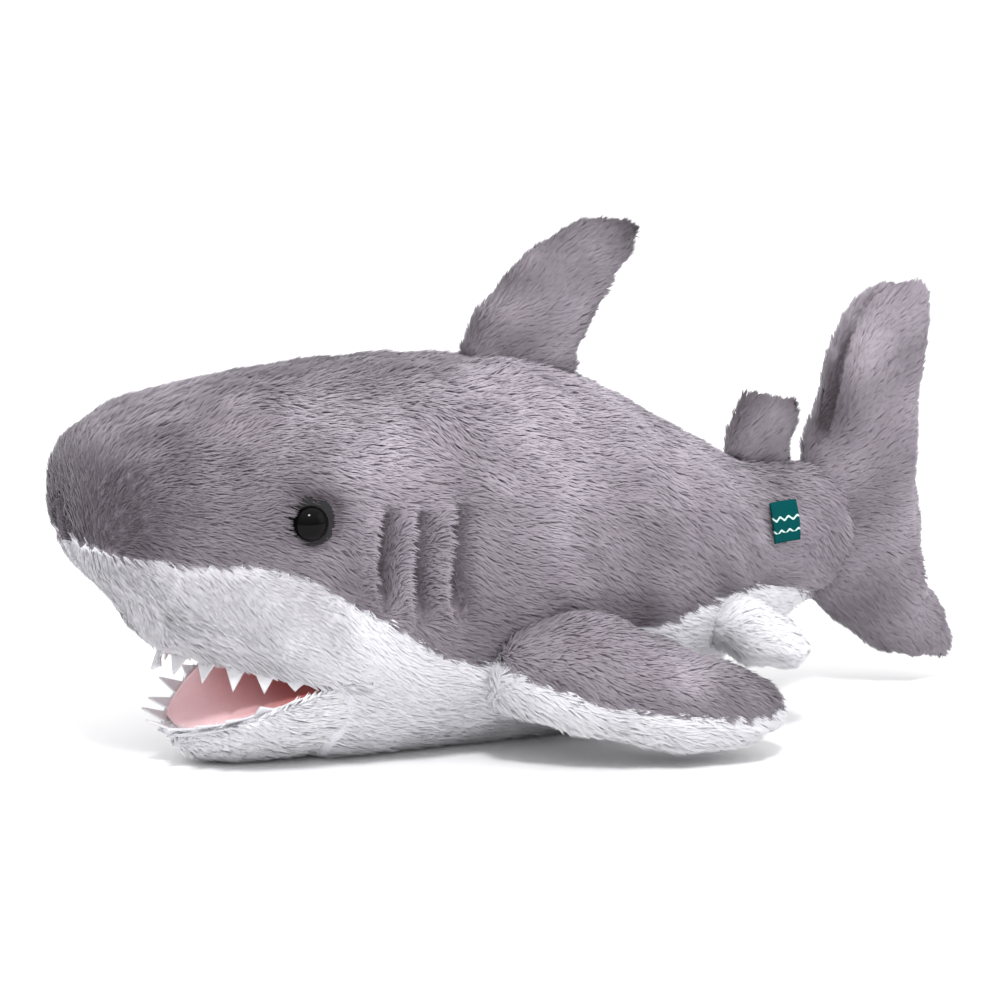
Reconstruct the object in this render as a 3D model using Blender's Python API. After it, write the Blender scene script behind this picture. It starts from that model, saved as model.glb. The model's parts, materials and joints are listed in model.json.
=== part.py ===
"""Stuffed toy shark: plush panels over fibre filling, eyes, felt teeth, lined mouth and seven fins."""
import math

import bmesh
import bpy
import numpy as np
from mathutils import Matrix, Vector

MM = 0.001

# Overall sizes of the finished toy.
LENGTH = 0.450
HEIGHT = 0.1776
WIDTH = 0.154

# Sizes of the sewing pattern that the profile stations below are written for.
PATTERN_LENGTH = 450.0
PATTERN_HEIGHT = 177.6
PATTERN_WIDTH = 154.0

# Fabric, filling and gaps.
FABRIC = 4.0 * MM
LINING = 2.0 * MM
FELT = 1.2 * MM
GAP = 0.3 * MM
SLACK = 1.6 * MM
FIN_SLACK = 0.8 * MM
EDGE = 0.2 * MM

# Body stations: place along the body, top, underside, half width and height of the widest line.
BODY_STATIONS = (
    (-225.0, 161.0, 92.0, 44.0, 124.0),
    (-205.0, 166.0, 80.0, 54.0, 116.0),
    (-185.0, 169.5, 58.0, 61.0, 112.0),
    (-165.0, 172.5, 46.5, 66.0, 110.0),
    (-150.0, 174.0, 35.0, 69.0, 108.0),
    (-135.0, 175.2, 15.0, 71.0, 105.5),
    (-121.0, 176.2, 0.5, 73.0, 103.0),
    (-100.0, 177.2, -1.6, 75.0, 100.0),
    (-60.0, 177.6, -1.6, 77.0, 95.0),
    (-25.0, 176.6, -1.6, 77.0, 90.0),
    (20.0, 164.0, -0.6, 74.0, 84.0),
    (60.0, 143.5, 8.0, 63.0, 78.0),
    (100.0, 122.5, 27.0, 44.0, 77.0),
    (145.0, 114.0, 50.0, 20.0, 82.0),
)
NOSE_ROUNDING = 38.0
NOSE_HEIGHT = 134.0
NOSE_POWER = 3.0
SECTION_POWER = 2.2
TAIL_AXIS = 145.0

# Height of the seam between the grey back and the white underside.
SEAM_STATIONS = (
    (-225.0, 106.0),
    (-190.0, 101.0),
    (-162.0, 99.5),
    (-148.0, 96.5),
    (-134.0, 91.0),
    (-110.0, 76.5),
    (-92.0, 66.0),
    (-72.0, 53.0),
    (-55.0, 49.0),
    (-10.0, 54.0),
    (30.0, 58.0),
    (61.0, 64.0),
    (90.0, 66.0),
    (112.0, 62.0),
    (145.0, 54.0),
)

# Mouth: hinge line of the lower jaw, slopes of its roof and floor, and where each lip starts.
MOUTH_X = -121.0
MOUTH_Z = 42.5
ROOF_SLOPE = math.radians(11.0)
FLOOR_SLOPE = math.radians(25.0)
JAW_FRONT = -177.0
JAW_POWER = 2.1
JAW_CLEARANCE = 0.6
MOUTH_CUT = 0.35
HEAD_END = -60.0
HEAD_STEP = 9.0
BODY_STEP = 14.0
SEAM_GAP = math.radians(0.3)

# Gill slits: three stitched tucks in each flank.
GILLS_X = (-102.5, -86.0, -69.5)
GILL_TOP = 123.0
GILL_BOTTOM = 70.0
GILL_DEPTH = 1.8 * MM
GILL_HALF_WIDTH = 1.6

# Teeth.
TOOTH_COUNT = 10
TOOTH_WIDTH = 9.0 * MM
TOOTH_HEIGHT = 9.5 * MM
UPPER_TEETH_INSET = FABRIC + GAP
LOWER_TEETH_INSET = FABRIC + 4.5 * MM
TOOTH_REACH = 0.26
TOOTH_CLEAR = 9.0 * MM
TOOTH_BAND = 1.8 * MM

# Eyes.
EYE_X = -135.0
EYE_Z = 116.5
EYE_RADIUS = 7.5 * MM
EYE_DOME = 5.2 * MM
EYE_SHANK_RADIUS = 2.2 * MM
EYE_SHANK_LENGTH = 9.0 * MM
FELT_PATCH_RADIUS = 9.5 * MM
WASHER_RADIUS = 7.0 * MM
WASHER_THICKNESS = 1.4 * MM

# Label.
LABEL_X = 108.0
LABEL_LENGTH = 15.0
LABEL_BOTTOM = 84.0
LABEL_TOP = 102.0
LABEL_THICKNESS = 0.8 * MM

# Fins: rows of (place across the fin, chord start, chord end, half thickness), hinge line at 0.
DORSAL_X = (-36.0, 22.0)
DORSAL_ROWS = (
    (0.0, -29.5, 29.5, 1.8),
    (4.0, -28.8, 30.5, 5.0),
    (10.0, -27.0, 32.0, 8.0),
    (22.0, -23.0, 35.0, 10.5),
    (36.0, -14.5, 39.0, 11.0),
    (48.0, -5.5, 43.5, 10.0),
    (58.0, 5.0, 46.5, 8.5),
    (65.0, 13.0, 45.5, 7.0),
    (69.5, 21.0, 40.0, 4.5),
    (71.5, 27.0, 33.0, 2.2),
)
SECOND_X = (99.0, 135.0)
SECOND_ROWS = (
    (0.0, -17.0, 17.0, 1.8),
    (3.0, -17.0, 17.5, 4.5),
    (8.0, -16.5, 18.0, 6.5),
    (15.0, -15.5, 17.0, 7.5),
    (21.0, -12.0, 13.5, 6.5),
    (25.0, -6.0, 9.0, 3.8),
    (26.5, -1.0, 5.0, 2.0),
)
TAIL_ROWS = (
    (10.0, 203.0, 220.0, 2.2),
    (13.5, 188.0, 223.0, 6.0),
    (21.0, 175.0, 225.0, 9.5),
    (32.0, 161.0, 222.0, 12.0),
    (42.0, 151.0, 219.0, 13.5),
    (50.0, 0.0, 215.5, 13.5),
    (60.0, 0.0, 213.0, 14.0),
    (72.0, 0.0, 210.5, 14.0),
    (84.0, 0.0, 209.0, 14.0),
    (96.0, 0.0, 208.0, 14.0),
    (106.0, 0.0, 207.0, 13.5),
    (115.0, 0.0, 206.5, 13.0),
    (124.0, 145.5, 206.3, 12.5),
    (136.0, 146.5, 206.8, 12.5),
    (150.0, 150.0, 207.6, 12.0),
    (164.0, 154.5, 208.8, 11.0),
    (178.0, 161.0, 209.8, 9.5),
    (188.0, 168.0, 209.8, 7.5),
    (194.5, 178.0, 206.5, 5.0),
    (197.5, 189.0, 202.0, 2.2),
)
TAIL_WRAP = math.radians(42.0)
SOCKET_GAP = 0.3
SOCKET_CLEARANCE = 0.9
PECTORAL_X = -18.0
PECTORAL_Z = 32.5
PECTORAL_DROOP = math.radians(20.0)
PECTORAL_ROWS = (
    (-31.0, 0.0, 4.0, 2.2),
    (-28.0, 0.0, 12.0, 7.0),
    (-18.0, 0.0, 24.0, 13.0),
    (-5.0, 0.0, 34.0, 18.0),
    (10.0, 0.0, 43.0, 20.5),
    (25.0, 1.0, 49.0, 21.0),
    (42.0, 5.0, 53.0, 20.0),
    (60.0, 9.5, 54.5, 18.0),
    (78.0, 14.0, 54.0, 15.0),
    (92.0, 19.0, 50.0, 11.5),
    (101.0, 25.0, 44.0, 7.5),
    (105.5, 31.0, 38.0, 2.4),
)
PELVIC_X = 92.0
PELVIC_Z = 44.0
PELVIC_DROOP = math.radians(28.0)
PELVIC_ROWS = (
    (-16.0, 0.0, 4.0, 2.0),
    (-13.0, 0.0, 10.0, 4.5),
    (-4.0, 0.0, 17.0, 7.5),
    (6.0, 0.0, 23.0, 9.0),
    (17.0, 2.0, 26.5, 9.0),
    (26.0, 6.0, 26.0, 7.5),
    (32.0, 10.0, 22.0, 5.0),
    (34.5, 13.5, 18.0, 2.2),
)
FIN_CHORD_STEPS = 8
ROOT_LIFT = 0.7 * MM

# The filling's sections stop this far short of straight up and down.
POLE = 0.08

SX = LENGTH / PATTERN_LENGTH
SY = WIDTH / PATTERN_WIDTH
SZ = HEIGHT / PATTERN_HEIGHT

GREY = (0.27, 0.24, 0.29, 1.0)
DARK_GREY = (0.13, 0.115, 0.14, 1.0)
WHITE = (0.82, 0.82, 0.86, 1.0)
PINK = (0.80, 0.42, 0.43, 1.0)
BLACK = (0.008, 0.008, 0.009, 1.0)
TEAL = (0.0, 0.16, 0.13, 1.0)
FIBRE = (0.90, 0.90, 0.88, 1.0)
CLEAR_PLASTIC = (0.75, 0.75, 0.72, 1.0)


def clear_scene():
    """Removes everything that the file opened with."""
    for thing in list(bpy.data.objects):
        bpy.data.objects.remove(thing, do_unlink=True)


def material(name, colour, roughness):
    """A plain material with one colour and one roughness."""
    made = bpy.data.materials.new(name)
    made.use_nodes = True
    shader = made.node_tree.nodes["Principled BSDF"]
    shader.inputs["Base Color"].default_value = colour
    shader.inputs["Roughness"].default_value = roughness
    made.diffuse_color = colour
    return made


def smooth_curve(stations, column):
    """A monotone cubic through one column of the stations, as a function of their first column."""
    xs = np.array([row[0] for row in stations])
    ys = np.array([row[column] for row in stations])
    steps = np.diff(xs)
    slopes = np.diff(ys) / steps
    tangents = np.zeros(len(xs))
    tangents[0] = slopes[0]
    tangents[-1] = slopes[-1]
    for i in range(1, len(xs) - 1):
        if slopes[i - 1] * slopes[i] > 0:
            first = 2 * steps[i] + steps[i - 1]
            second = steps[i] + 2 * steps[i - 1]
            tangents[i] = (first + second) / (first / slopes[i - 1] + second / slopes[i])

    def value(x):
        x = min(max(x, xs[0]), xs[-1])
        i = min(int(np.searchsorted(xs, x, side="right")) - 1, len(xs) - 2)
        t = (x - xs[i]) / steps[i]
        a = (1 + 2 * t) * (1 - t) ** 2
        b = t * (1 - t) ** 2
        c = t * t * (3 - 2 * t)
        d = t * t * (t - 1)
        return a * ys[i] + b * steps[i] * tangents[i] + c * ys[i + 1] + d * steps[i] * tangents[i + 1]

    return value


top_of = smooth_curve(BODY_STATIONS, 1)
underside_of = smooth_curve(BODY_STATIONS, 2)
width_of = smooth_curve(BODY_STATIONS, 3)
widest_of = smooth_curve(BODY_STATIONS, 4)
seam_of = smooth_curve(SEAM_STATIONS, 1)
NOSE_X = BODY_STATIONS[0][0]


def nose_factor(x):
    """How much of its full size a section has, from 0 at the tip of the nose to 1 behind its rounding."""
    t = min(max((x - NOSE_X) / NOSE_ROUNDING, 0.0), 1.0)
    return (1 - (1 - t) ** NOSE_POWER) ** (1 / NOSE_POWER)


def nose_place(factor):
    """The place along the body where a section has this much of its full size."""
    return NOSE_X + NOSE_ROUNDING * (1 - (1 - factor ** NOSE_POWER) ** (1 / NOSE_POWER))


def section(x):
    """Top, underside, half width and widest height of the body at a place, in pattern sizes."""
    f = nose_factor(x)
    top = NOSE_HEIGHT + (top_of(x) - NOSE_HEIGHT) * f
    low = NOSE_HEIGHT + (underside_of(x) - NOSE_HEIGHT) * f
    widest = NOSE_HEIGHT + (widest_of(x) - NOSE_HEIGHT) * f
    return top, low, width_of(x) * f, widest


def section_point(x, angle, shape):
    """The point of a section at an angle from -90 degrees, underneath, to 90 degrees, on top."""
    top, low, width, widest = shape
    power = 2.0 / SECTION_POWER
    c = max(math.cos(angle), 0.0) ** power
    s = abs(math.sin(angle)) ** power
    z = widest + (top - widest) * s if angle >= 0 else widest - (widest - low) * s
    return np.array([x, width * c, z])


def angle_at(height, shape):
    """The angle at which a section reaches a height."""
    top, low, width, widest = shape
    half = top - widest if height >= widest else widest - low
    share = min(abs(height - widest) / half, 1.0)
    angle = math.asin(share ** (SECTION_POWER / 2.0))
    return angle if height >= widest else -angle


def station_place(m):
    """Place along the body for a running number: 0 to 1 is the nose, 1 to 2 the rest of the body."""
    if m <= 1:
        return nose_place(math.sin(m * math.pi / 2))
    start = NOSE_X + NOSE_ROUNDING
    return start + (TAIL_AXIS - start) * (m - 1)


def body_point(m, angle):
    """A point on the outside of the right half of the body, in pattern sizes."""
    x = station_place(m)
    return section_point(x, angle, section(x))


def station_number(x):
    """The running number of a place along the body."""
    start = NOSE_X + NOSE_ROUNDING
    if x >= start:
        return 1 + (x - start) / (TAIL_AXIS - start)
    return math.asin(min(nose_factor(x), 1.0)) * 2 / math.pi


def scaled(p):
    """A point in pattern sizes turned into metres, pressed flat where the toy rests."""
    return np.array([p[0] * SX, p[1] * SY, max(p[2], 0.0) * SZ])


def body_normal(m, angle):
    """The outward direction of the body at a point of its right half."""
    step = 0.01
    low_m = max(m - step, 0.02)
    high_m = min(m + step, 2.0)
    low_a = max(angle - step, -math.pi / 2)
    high_a = min(angle + step, math.pi / 2)
    along = scaled(body_point(high_m, angle)) - scaled(body_point(low_m, angle))
    around = scaled(body_point(m, high_a)) - scaled(body_point(m, low_a))
    if abs(angle) > math.pi / 2 - 0.03:
        around = np.array([0.0, -math.copysign(1.0, angle), 0.0])
    out = np.cross(around, along)
    length = np.linalg.norm(out)
    out = out / length
    return out


def body_surface(m, angle, depth):
    """A point of the right half of the body, this far under its outside, in metres."""
    return scaled(body_point(m, angle)) - body_normal(m, angle) * depth


def plane_height(x, slope):
    """Height of the mouth's roof (upward slope) or floor (downward slope) at a place."""
    return MOUTH_Z + (MOUTH_X - x) * math.tan(slope)


def lip_angle(x):
    """The angle at which the upper lip cuts a section of the head."""
    return angle_at(max(plane_height(x, ROOF_SLOPE), section(x)[1]), section(x))


def seam_angle(x):
    """The angle at which the seam between grey and white cuts a section."""
    shape = section(x)
    if seam_of(x) <= shape[1]:
        return -math.pi / 2
    return angle_at(seam_of(x), shape)


def gill_depth(x, z):
    """How deep the tucks of the gills are at a point of the flank."""
    if not GILL_BOTTOM <= z <= GILL_TOP:
        return 0.0
    for place in GILLS_X:
        if abs(x - place) < 0.1:
            return GILL_DEPTH
    return 0.0


def face_outward(grown):
    """Turns every face of a closed body outward."""
    bmesh.ops.recalc_face_normals(grown, faces=grown.faces[:])
    if grown.calc_volume(signed=True) < 0:
        bmesh.ops.reverse_faces(grown, faces=grown.faces[:])


def mesh_object(name, vertices, faces, look, smooth=True):
    """One closed body with its faces turned outward."""
    mesh = bpy.data.meshes.new(name)
    grown = bmesh.new()
    placed = [grown.verts.new(Vector([float(c) for c in v])) for v in vertices]
    for face in faces:
        grown.faces.new([placed[i] for i in face])
    face_outward(grown)
    for face in grown.faces:
        face.smooth = smooth
    grown.to_mesh(mesh)
    grown.free()
    made = bpy.data.objects.new(name, mesh)
    bpy.context.collection.objects.link(made)
    mesh.materials.append(look)
    return made


def sheet_solid(name, outer, inner, look, side=1.0, shift=0.0):
    """A closed sheet between two grids of points, mirrored to a side and shifted off the middle."""
    outer = np.array(outer, float)
    inner = np.array(inner, float)
    rows, columns = outer.shape[:2]
    points = np.concatenate([outer.reshape(-1, 3), inner.reshape(-1, 3)])
    points[:, 1] = side * (points[:, 1] + shift)
    under = rows * columns
    faces = []
    for r in range(rows - 1):
        for c in range(columns - 1):
            a = r * columns + c
            faces.append((a, a + 1, a + columns + 1, a + columns))
            b = a + under
            faces.append((b, b + columns, b + columns + 1, b + 1))
    for r in range(rows - 1):
        a = r * columns
        faces.append((a, a + columns, a + columns + under, a + under))
        a = r * columns + columns - 1
        faces.append((a, a + under, a + columns + under, a + columns))
    for c in range(columns - 1):
        faces.append((c, c + under, c + 1 + under, c + 1))
        a = (rows - 1) * columns + c
        faces.append((a, a + 1, a + 1 + under, a + under))
    return mesh_object(name, points, faces, look)


def ring_solid(name, rings, look, smooth=True):
    """A closed body through rings of points, with a flat end on the first and last."""
    rings = np.array(rings, float)
    count, around = rings.shape[:2]
    faces = []
    for r in range(count - 1):
        for c in range(around):
            a = r * around + c
            b = r * around + (c + 1) % around
            faces.append((a, b, b + around, a + around))
    faces.append(tuple(range(around)))
    faces.append(tuple((count - 1) * around + c for c in range(around)))
    return mesh_object(name, rings.reshape(-1, 3), faces, look, smooth)


def spread(start, end, count):
    """Evenly spread numbers from start to end."""
    return [start + (end - start) * i / (count - 1) for i in range(count)]


def places(start, end, step):
    """Places along the body from start to end, at most a step apart, with the gill tucks among them."""
    count = max(int(math.ceil((end - start) / step)), 1)
    found = [start + (end - start) * i / count for i in range(count + 1)]
    for gill in GILLS_X:
        if start < gill < end:
            found = [x for x in found if abs(x - gill) > 2 * GILL_HALF_WIDTH]
            found += [gill - GILL_HALF_WIDTH, gill, gill + GILL_HALF_WIDTH]
    return sorted(found)


def body_numbers(start, end):
    """Running numbers of the stations between two places. Every piece of the body uses the same ones."""
    front = NOSE_X + NOSE_ROUNDING
    marks = places(front, HEAD_END, HEAD_STEP) + places(HEAD_END, TAIL_AXIS, BODY_STEP)[1:]
    numbers = spread(0.05, 0.94, 8) + [station_number(x) for x in marks]
    first = station_number(start)
    last = station_number(end)
    inside = [m for m in numbers if first + 0.01 < m < last - 0.01]
    return [max(first, 0.05)] + [m for m in inside if m > 0.06] + [last]


def body_sheet(name, numbers, low_angle, high_angle, columns, look, side, shift=EDGE):
    """A fabric panel that follows the body between two angles, with the gill tucks pressed in."""
    outer = []
    inner = []
    for m in numbers:
        x = station_place(m)
        a = low_angle(x, m)
        b = high_angle(x, m)
        angles = spread(a, b, columns)
        row = []
        for angle in angles:
            tuck = gill_depth(x, body_point(m, angle)[2]) if side else 0.0
            row.append(body_surface(m, angle, tuck))
        outer.append(row)
        inner.append([body_surface(m, angle, FABRIC) for angle in angles])
    return sheet_solid(name, outer, inner, look, side, shift)


def make_back_panels(look):
    """The two grey panels of the back, from the nose to the root of the tail."""
    numbers = body_numbers(NOSE_X, TAIL_AXIS)
    made = []
    for name, side in (("left", -1.0), ("right", 1.0)):
        made.append(
            body_sheet(
                "back_panel_" + name,
                numbers,
                lambda x, m: seam_angle(x) + (SEAM_GAP if seam_angle(x) > -1.5 else 0.0),
                lambda x, m: math.pi / 2,
                11,
                look,
                side,
            )
        )
    return made


def white_start():
    """The place on the underside of the snout where the white fabric starts."""
    for i in range(400):
        x = NOSE_X + 0.1 * i
        if section(x)[1] < seam_of(x) - 1.0:
            return x
    return NOSE_X


def make_muzzle_panels(look):
    """The two white panels of the snout, from its front to the corner of the mouth."""
    start = white_start()
    numbers = body_numbers(start, MOUTH_X - MOUTH_CUT)
    made = []
    for name, side in (("left", -1.0), ("right", 1.0)):
        made.append(
            body_sheet(
                "muzzle_panel_" + name,
                numbers,
                lambda x, m: lip_angle(x),
                lambda x, m: seam_angle(x) - SEAM_GAP,
                8,
                look,
                side,
            )
        )
    return made


def make_belly_panel(look):
    """The white panel of the belly, from the corners of the mouth to the root of the tail."""
    numbers = body_numbers(MOUTH_X + MOUTH_CUT, TAIL_AXIS)
    outer = []
    inner = []
    for m in numbers:
        x = station_place(m)
        edge = seam_angle(x) - SEAM_GAP
        angles = spread(-math.pi / 2, edge, 8)
        out_row = [body_surface(m, a, 0.0) for a in angles]
        in_row = [body_surface(m, a, FABRIC) for a in angles]
        outer.append([p * (1, -1, 1) for p in reversed(out_row[1:])] + out_row)
        inner.append([p * (1, -1, 1) for p in reversed(in_row[1:])] + in_row)
    return sheet_solid("belly_panel", outer, inner, look)


def inset_angle(m, depth, height):
    """The angle at which the body's surface, this far under its outside, reaches a height in metres."""
    low = -math.pi / 2 + POLE / 2
    high = 0.0
    if body_surface(m, low, depth)[2] >= height:
        return low
    for _ in range(30):
        middle = (low + high) / 2
        if body_surface(m, middle, depth)[2] < height:
            low = middle
        else:
            high = middle
    return high


def make_filling(look):
    """The fibre filling of head and body, flat over the mouth and upright behind it."""
    depth = FABRIC + SLACK
    around = 14
    chord = 4
    rings = []
    numbers = body_numbers(NOSE_X, TAIL_AXIS)
    lift = (LINING + 2 * GAP) / SZ
    front = MOUTH_X - MOUTH_CUT
    behind = MOUTH_X + 2 * JAW_CLEARANCE
    marks = [m for m in numbers if abs(station_place(m) - MOUTH_X) > 6.0]
    marks += [station_number(front), station_number(behind), station_number(behind + 3.0)]
    for m in sorted(marks):
        x = station_place(m)
        low = -math.pi / 2 + POLE / 2
        if m <= station_number(behind) + 1e-9:
            height = (plane_height(min(x, front), ROOF_SLOPE) + lift) * SZ
            low = inset_angle(m, depth, height)
        angles = spread(low, math.pi / 2 - POLE / 2, around)
        half = [body_surface(m, a, depth) for a in angles]
        right = half
        left = [p * (1, -1, 1) for p in reversed(half)]
        bottom = [left[-1] + (right[0] - left[-1]) * k / chord for k in range(1, chord)]
        rings.append(right + left + bottom)
    last = rings[-1]
    for turn in (0.45, 0.85, 1.2):
        rings.append(
            [
                (p[0] + abs(p[1]) * math.sin(turn), p[1] * math.cos(turn), p[2])
                for p in last
            ]
        )
    return ring_solid("body_filling", rings, look)


def make_roof_lining(look):
    """The pink lining of the roof of the mouth."""
    top = []
    bottom = []
    inset = UPPER_TEETH_INSET + FELT + 2 * GAP
    for x in spread(roof_start() + 6.0, MOUTH_X - MOUTH_CUT - 1.0, 11):
        half = max(upper_half_width(x) * SY - inset, 1.5 * MM)
        height = plane_height(x, ROOF_SLOPE) * SZ + GAP / 2
        ys = spread(-half, half, 9)
        bottom.append([(x * SX, y, height) for y in ys])
        top.append([(x * SX, y, height + LINING) for y in ys])
    return sheet_solid("mouth_roof_lining", top, bottom, look)


def roof_start():
    """The place of the front of the upper lip."""
    for i in range(900):
        x = NOSE_X + 0.1 * i
        if section(x)[1] <= plane_height(x, ROOF_SLOPE):
            return x
    return JAW_FRONT


def jaw_section(x):
    """Underside, half width and widest height of the lower jaw at a place."""
    t = min(max((x - JAW_FRONT) / (MOUTH_X - JAW_FRONT), 0.0), 1.0)
    f = (1 - (1 - t) ** JAW_POWER) ** (1 / JAW_POWER)
    end = section(MOUTH_X)
    lip = plane_height(JAW_FRONT, -FLOOR_SLOPE)
    nose_low = end[1] + (lip - 4.0 - end[1]) * (1 - f) ** 1.6
    return (end[0], nose_low, end[2] * max(f, 1e-4), end[3])


def jaw_point(t, angle):
    """A point on the outside of the lower jaw, t running from its front to its hinge."""
    x = JAW_FRONT + (MOUTH_X - JAW_FRONT) * (1 - math.cos(t * math.pi / 2))
    return section_point(x, angle, jaw_section(x))


def jaw_place(t):
    """Place along the body for the jaw's running number."""
    return JAW_FRONT + (MOUTH_X - JAW_FRONT) * (1 - math.cos(t * math.pi / 2))


def jaw_surface(t, angle, depth):
    """A point of the right half of the jaw, this far under its outside, in metres."""
    step = 0.01
    here = scaled(jaw_point(t, angle))
    along = scaled(jaw_point(min(t + step, 1.0), angle)) - scaled(jaw_point(max(t - step, 0.001), angle))
    low_a = max(angle - step, -math.pi / 2)
    around = scaled(jaw_point(t, angle + step)) - scaled(jaw_point(t, low_a))
    if angle < -math.pi / 2 + 0.03:
        around = np.array([0.0, 1.0, 0.0])
    out = np.cross(around, along)
    out = out / np.linalg.norm(out)
    return here - out * depth


def floor_angle(t, drop=0.0):
    """The angle at which the floor of the mouth, lowered by a drop, cuts the jaw."""
    x = jaw_place(t)
    shape = jaw_section(x)
    return angle_at(max(plane_height(x, -FLOOR_SLOPE) - drop, shape[1] + 0.5), shape)


def make_jaw_panel(look):
    """The white fabric outside of the lower jaw."""
    outer = []
    inner = []
    for t in spread(0.16, 0.985, 12):
        edge = floor_angle(t)
        angles = spread(-math.pi / 2, edge, 7)
        out_row = [jaw_surface(t, a, 0.0) for a in angles]
        in_row = [jaw_surface(t, a, FABRIC) for a in angles]
        flat = plane_height(jaw_place(t), -FLOOR_SLOPE) * SZ
        for p in in_row:
            p[2] = min(p[2], flat)
        outer.append([p * (1, -1, 1) for p in reversed(out_row[1:])] + out_row)
        inner.append([p * (1, -1, 1) for p in reversed(in_row[1:])] + in_row)
    return sheet_solid("jaw_panel", outer, inner, look)


def make_jaw_filling(look):
    """The fibre filling of the lower jaw."""
    rings = []
    chord = 6
    drop = (LINING + 2 * GAP) / SZ
    for t in spread(0.32, 0.975, 9):
        x = jaw_place(t)
        edge = floor_angle(t, drop)
        angles = spread(-math.pi / 2, edge, 7)
        half = [jaw_surface(t, a, FABRIC + SLACK) for a in angles]
        for p in half:
            p[2] = min(p[2], (plane_height(p[0] / SX, -FLOOR_SLOPE) - drop) * SZ)
        left = [p * (1, -1, 1) for p in reversed(half[1:])]
        arc = left + half
        top = [arc[-1] + (arc[0] - arc[-1]) * k / chord for k in range(1, chord)]
        rings.append(arc + top)
    return ring_solid("jaw_filling", rings, look)


def lip_outline(half_width, start, end, samples=160):
    """The outline of a lip in plan, right half, from its front to the corner of the mouth."""
    xs = [start + (end - start) * (1 - math.cos(i * math.pi / 2 / samples)) for i in range(samples + 1)]
    return np.array([(x * SX, half_width(x) * SY) for x in xs])


def upper_half_width(x):
    """Half width of the head at the roof of the mouth."""
    shape = section(x)
    height = plane_height(x, ROOF_SLOPE)
    if height <= shape[1]:
        return 0.0
    return float(section_point(x, angle_at(height, shape), shape)[1])


def lower_half_width(x):
    """Half width of the jaw at the floor of the mouth."""
    shape = jaw_section(x)
    height = plane_height(x, -FLOOR_SLOPE)
    if height <= shape[1]:
        return 0.0
    return float(section_point(x, angle_at(height, shape), shape)[1])


def lip_ribbon(half_width, start, end, inset):
    """Returns a function that gives the place in plan along a lip, inset from it, and its full half length."""
    right = lip_outline(half_width, start, end)
    left = right[::-1][:-1] * (1, -1)
    whole = np.concatenate([left, right])
    lengths = np.concatenate([[0.0], np.cumsum(np.linalg.norm(np.diff(whole, axis=0), axis=1))])
    middle = lengths[-1] / 2

    def at(s, depth):
        here = np.array([np.interp(s + middle, lengths, whole[:, k]) for k in (0, 1)])
        ahead = np.array([np.interp(s + middle + 2 * MM, lengths, whole[:, k]) for k in (0, 1)])
        behind = np.array([np.interp(s + middle - 2 * MM, lengths, whole[:, k]) for k in (0, 1)])
        along = ahead - behind
        along = along / np.linalg.norm(along)
        inward = np.array([along[1], -along[0]])
        return here + inward * (inset + depth)

    return at, middle


def make_teeth(name, at, half_length, slope, up, look):
    """A felt strip of pointed teeth that follows a lip."""
    clear = TOOTH_CLEAR
    pitch = (2 * half_length - 2 * clear) / TOOTH_COUNT
    columns = []
    for k in range(TOOTH_COUNT):
        s = (k - (TOOTH_COUNT - 1) / 2) * pitch
        width = min(TOOTH_WIDTH, 0.8 * pitch)
        columns += [(s - width / 2, 0.0), (s, 1.0), (s + width / 2, 0.0)]
        if k < TOOTH_COUNT - 1:
            columns.append((s + pitch / 2, 0.0))
    rings = []
    for s, tall in columns:
        outside = at(s, 0.0)
        inside = at(s, FELT)
        base = plane_height(outside[0] / SX, slope) * SZ
        start = base + up * GAP * 1.5
        height = min(TOOTH_HEIGHT, TOOTH_REACH * (MOUTH_X * SX - outside[0]))
        end = base + up * (TOOTH_BAND + tall * max(height - TOOTH_BAND, 0.0))
        rings.append(
            [
                (outside[0], outside[1], start),
                (outside[0], outside[1], end),
                (inside[0], inside[1], end),
                (inside[0], inside[1], start),
            ]
        )
    return ring_solid(name, rings, look, smooth=False)


def make_floor_lining(look):
    """The pink lining of the floor of the mouth."""
    top = []
    bottom = []
    inset = FABRIC + 6.0 * MM
    start = JAW_FRONT + 12.0
    for x in spread(start, MOUTH_X - 2.0, 10):
        half = max(lower_half_width(x) * SY - inset, 3.0 * MM)
        height = plane_height(x, -FLOOR_SLOPE) * SZ - GAP * 0.5
        ys = spread(-half, half, 9)
        top.append([(x * SX, y, height) for y in ys])
        bottom.append([(x * SX, y, height - LINING) for y in ys])
    return sheet_solid("mouth_floor_lining", top, bottom, look)


def eye_frame(side):
    """Place and turn of an eye: on the fabric, looking straight out of it."""
    m = station_number(EYE_X)
    angle = angle_at(EYE_Z, section(EYE_X))
    place = body_surface(m, angle, 0.0)
    out = body_normal(m, angle)
    place[1] *= side
    out[1] *= side
    turn = Vector([float(c) for c in out]).to_track_quat("Z", "Y")
    return Vector([float(c) for c in place]), turn


def spin_solid(name, profile, steps, look):
    """A round body spun from a closed or axis-to-axis profile of (radius, height) points."""
    grown = bmesh.new()
    closed = profile[0][0] > 1e-9
    placed = [grown.verts.new((r, 0.0, z)) for r, z in profile]
    edges = [grown.edges.new((placed[i], placed[i + 1])) for i in range(len(placed) - 1)]
    if closed:
        edges.append(grown.edges.new((placed[-1], placed[0])))
    bmesh.ops.spin(
        grown,
        geom=placed + edges,
        cent=(0, 0, 0),
        axis=(0, 0, 1),
        angle=2 * math.pi,
        steps=steps,
        use_merge=True,
    )
    bmesh.ops.remove_doubles(grown, verts=grown.verts[:], dist=1e-6)
    face_outward(grown)
    for face in grown.faces:
        face.smooth = True
    mesh = bpy.data.meshes.new(name)
    grown.to_mesh(mesh)
    grown.free()
    made = bpy.data.objects.new(name, mesh)
    bpy.context.collection.objects.link(made)
    mesh.materials.append(look)
    return made


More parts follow.
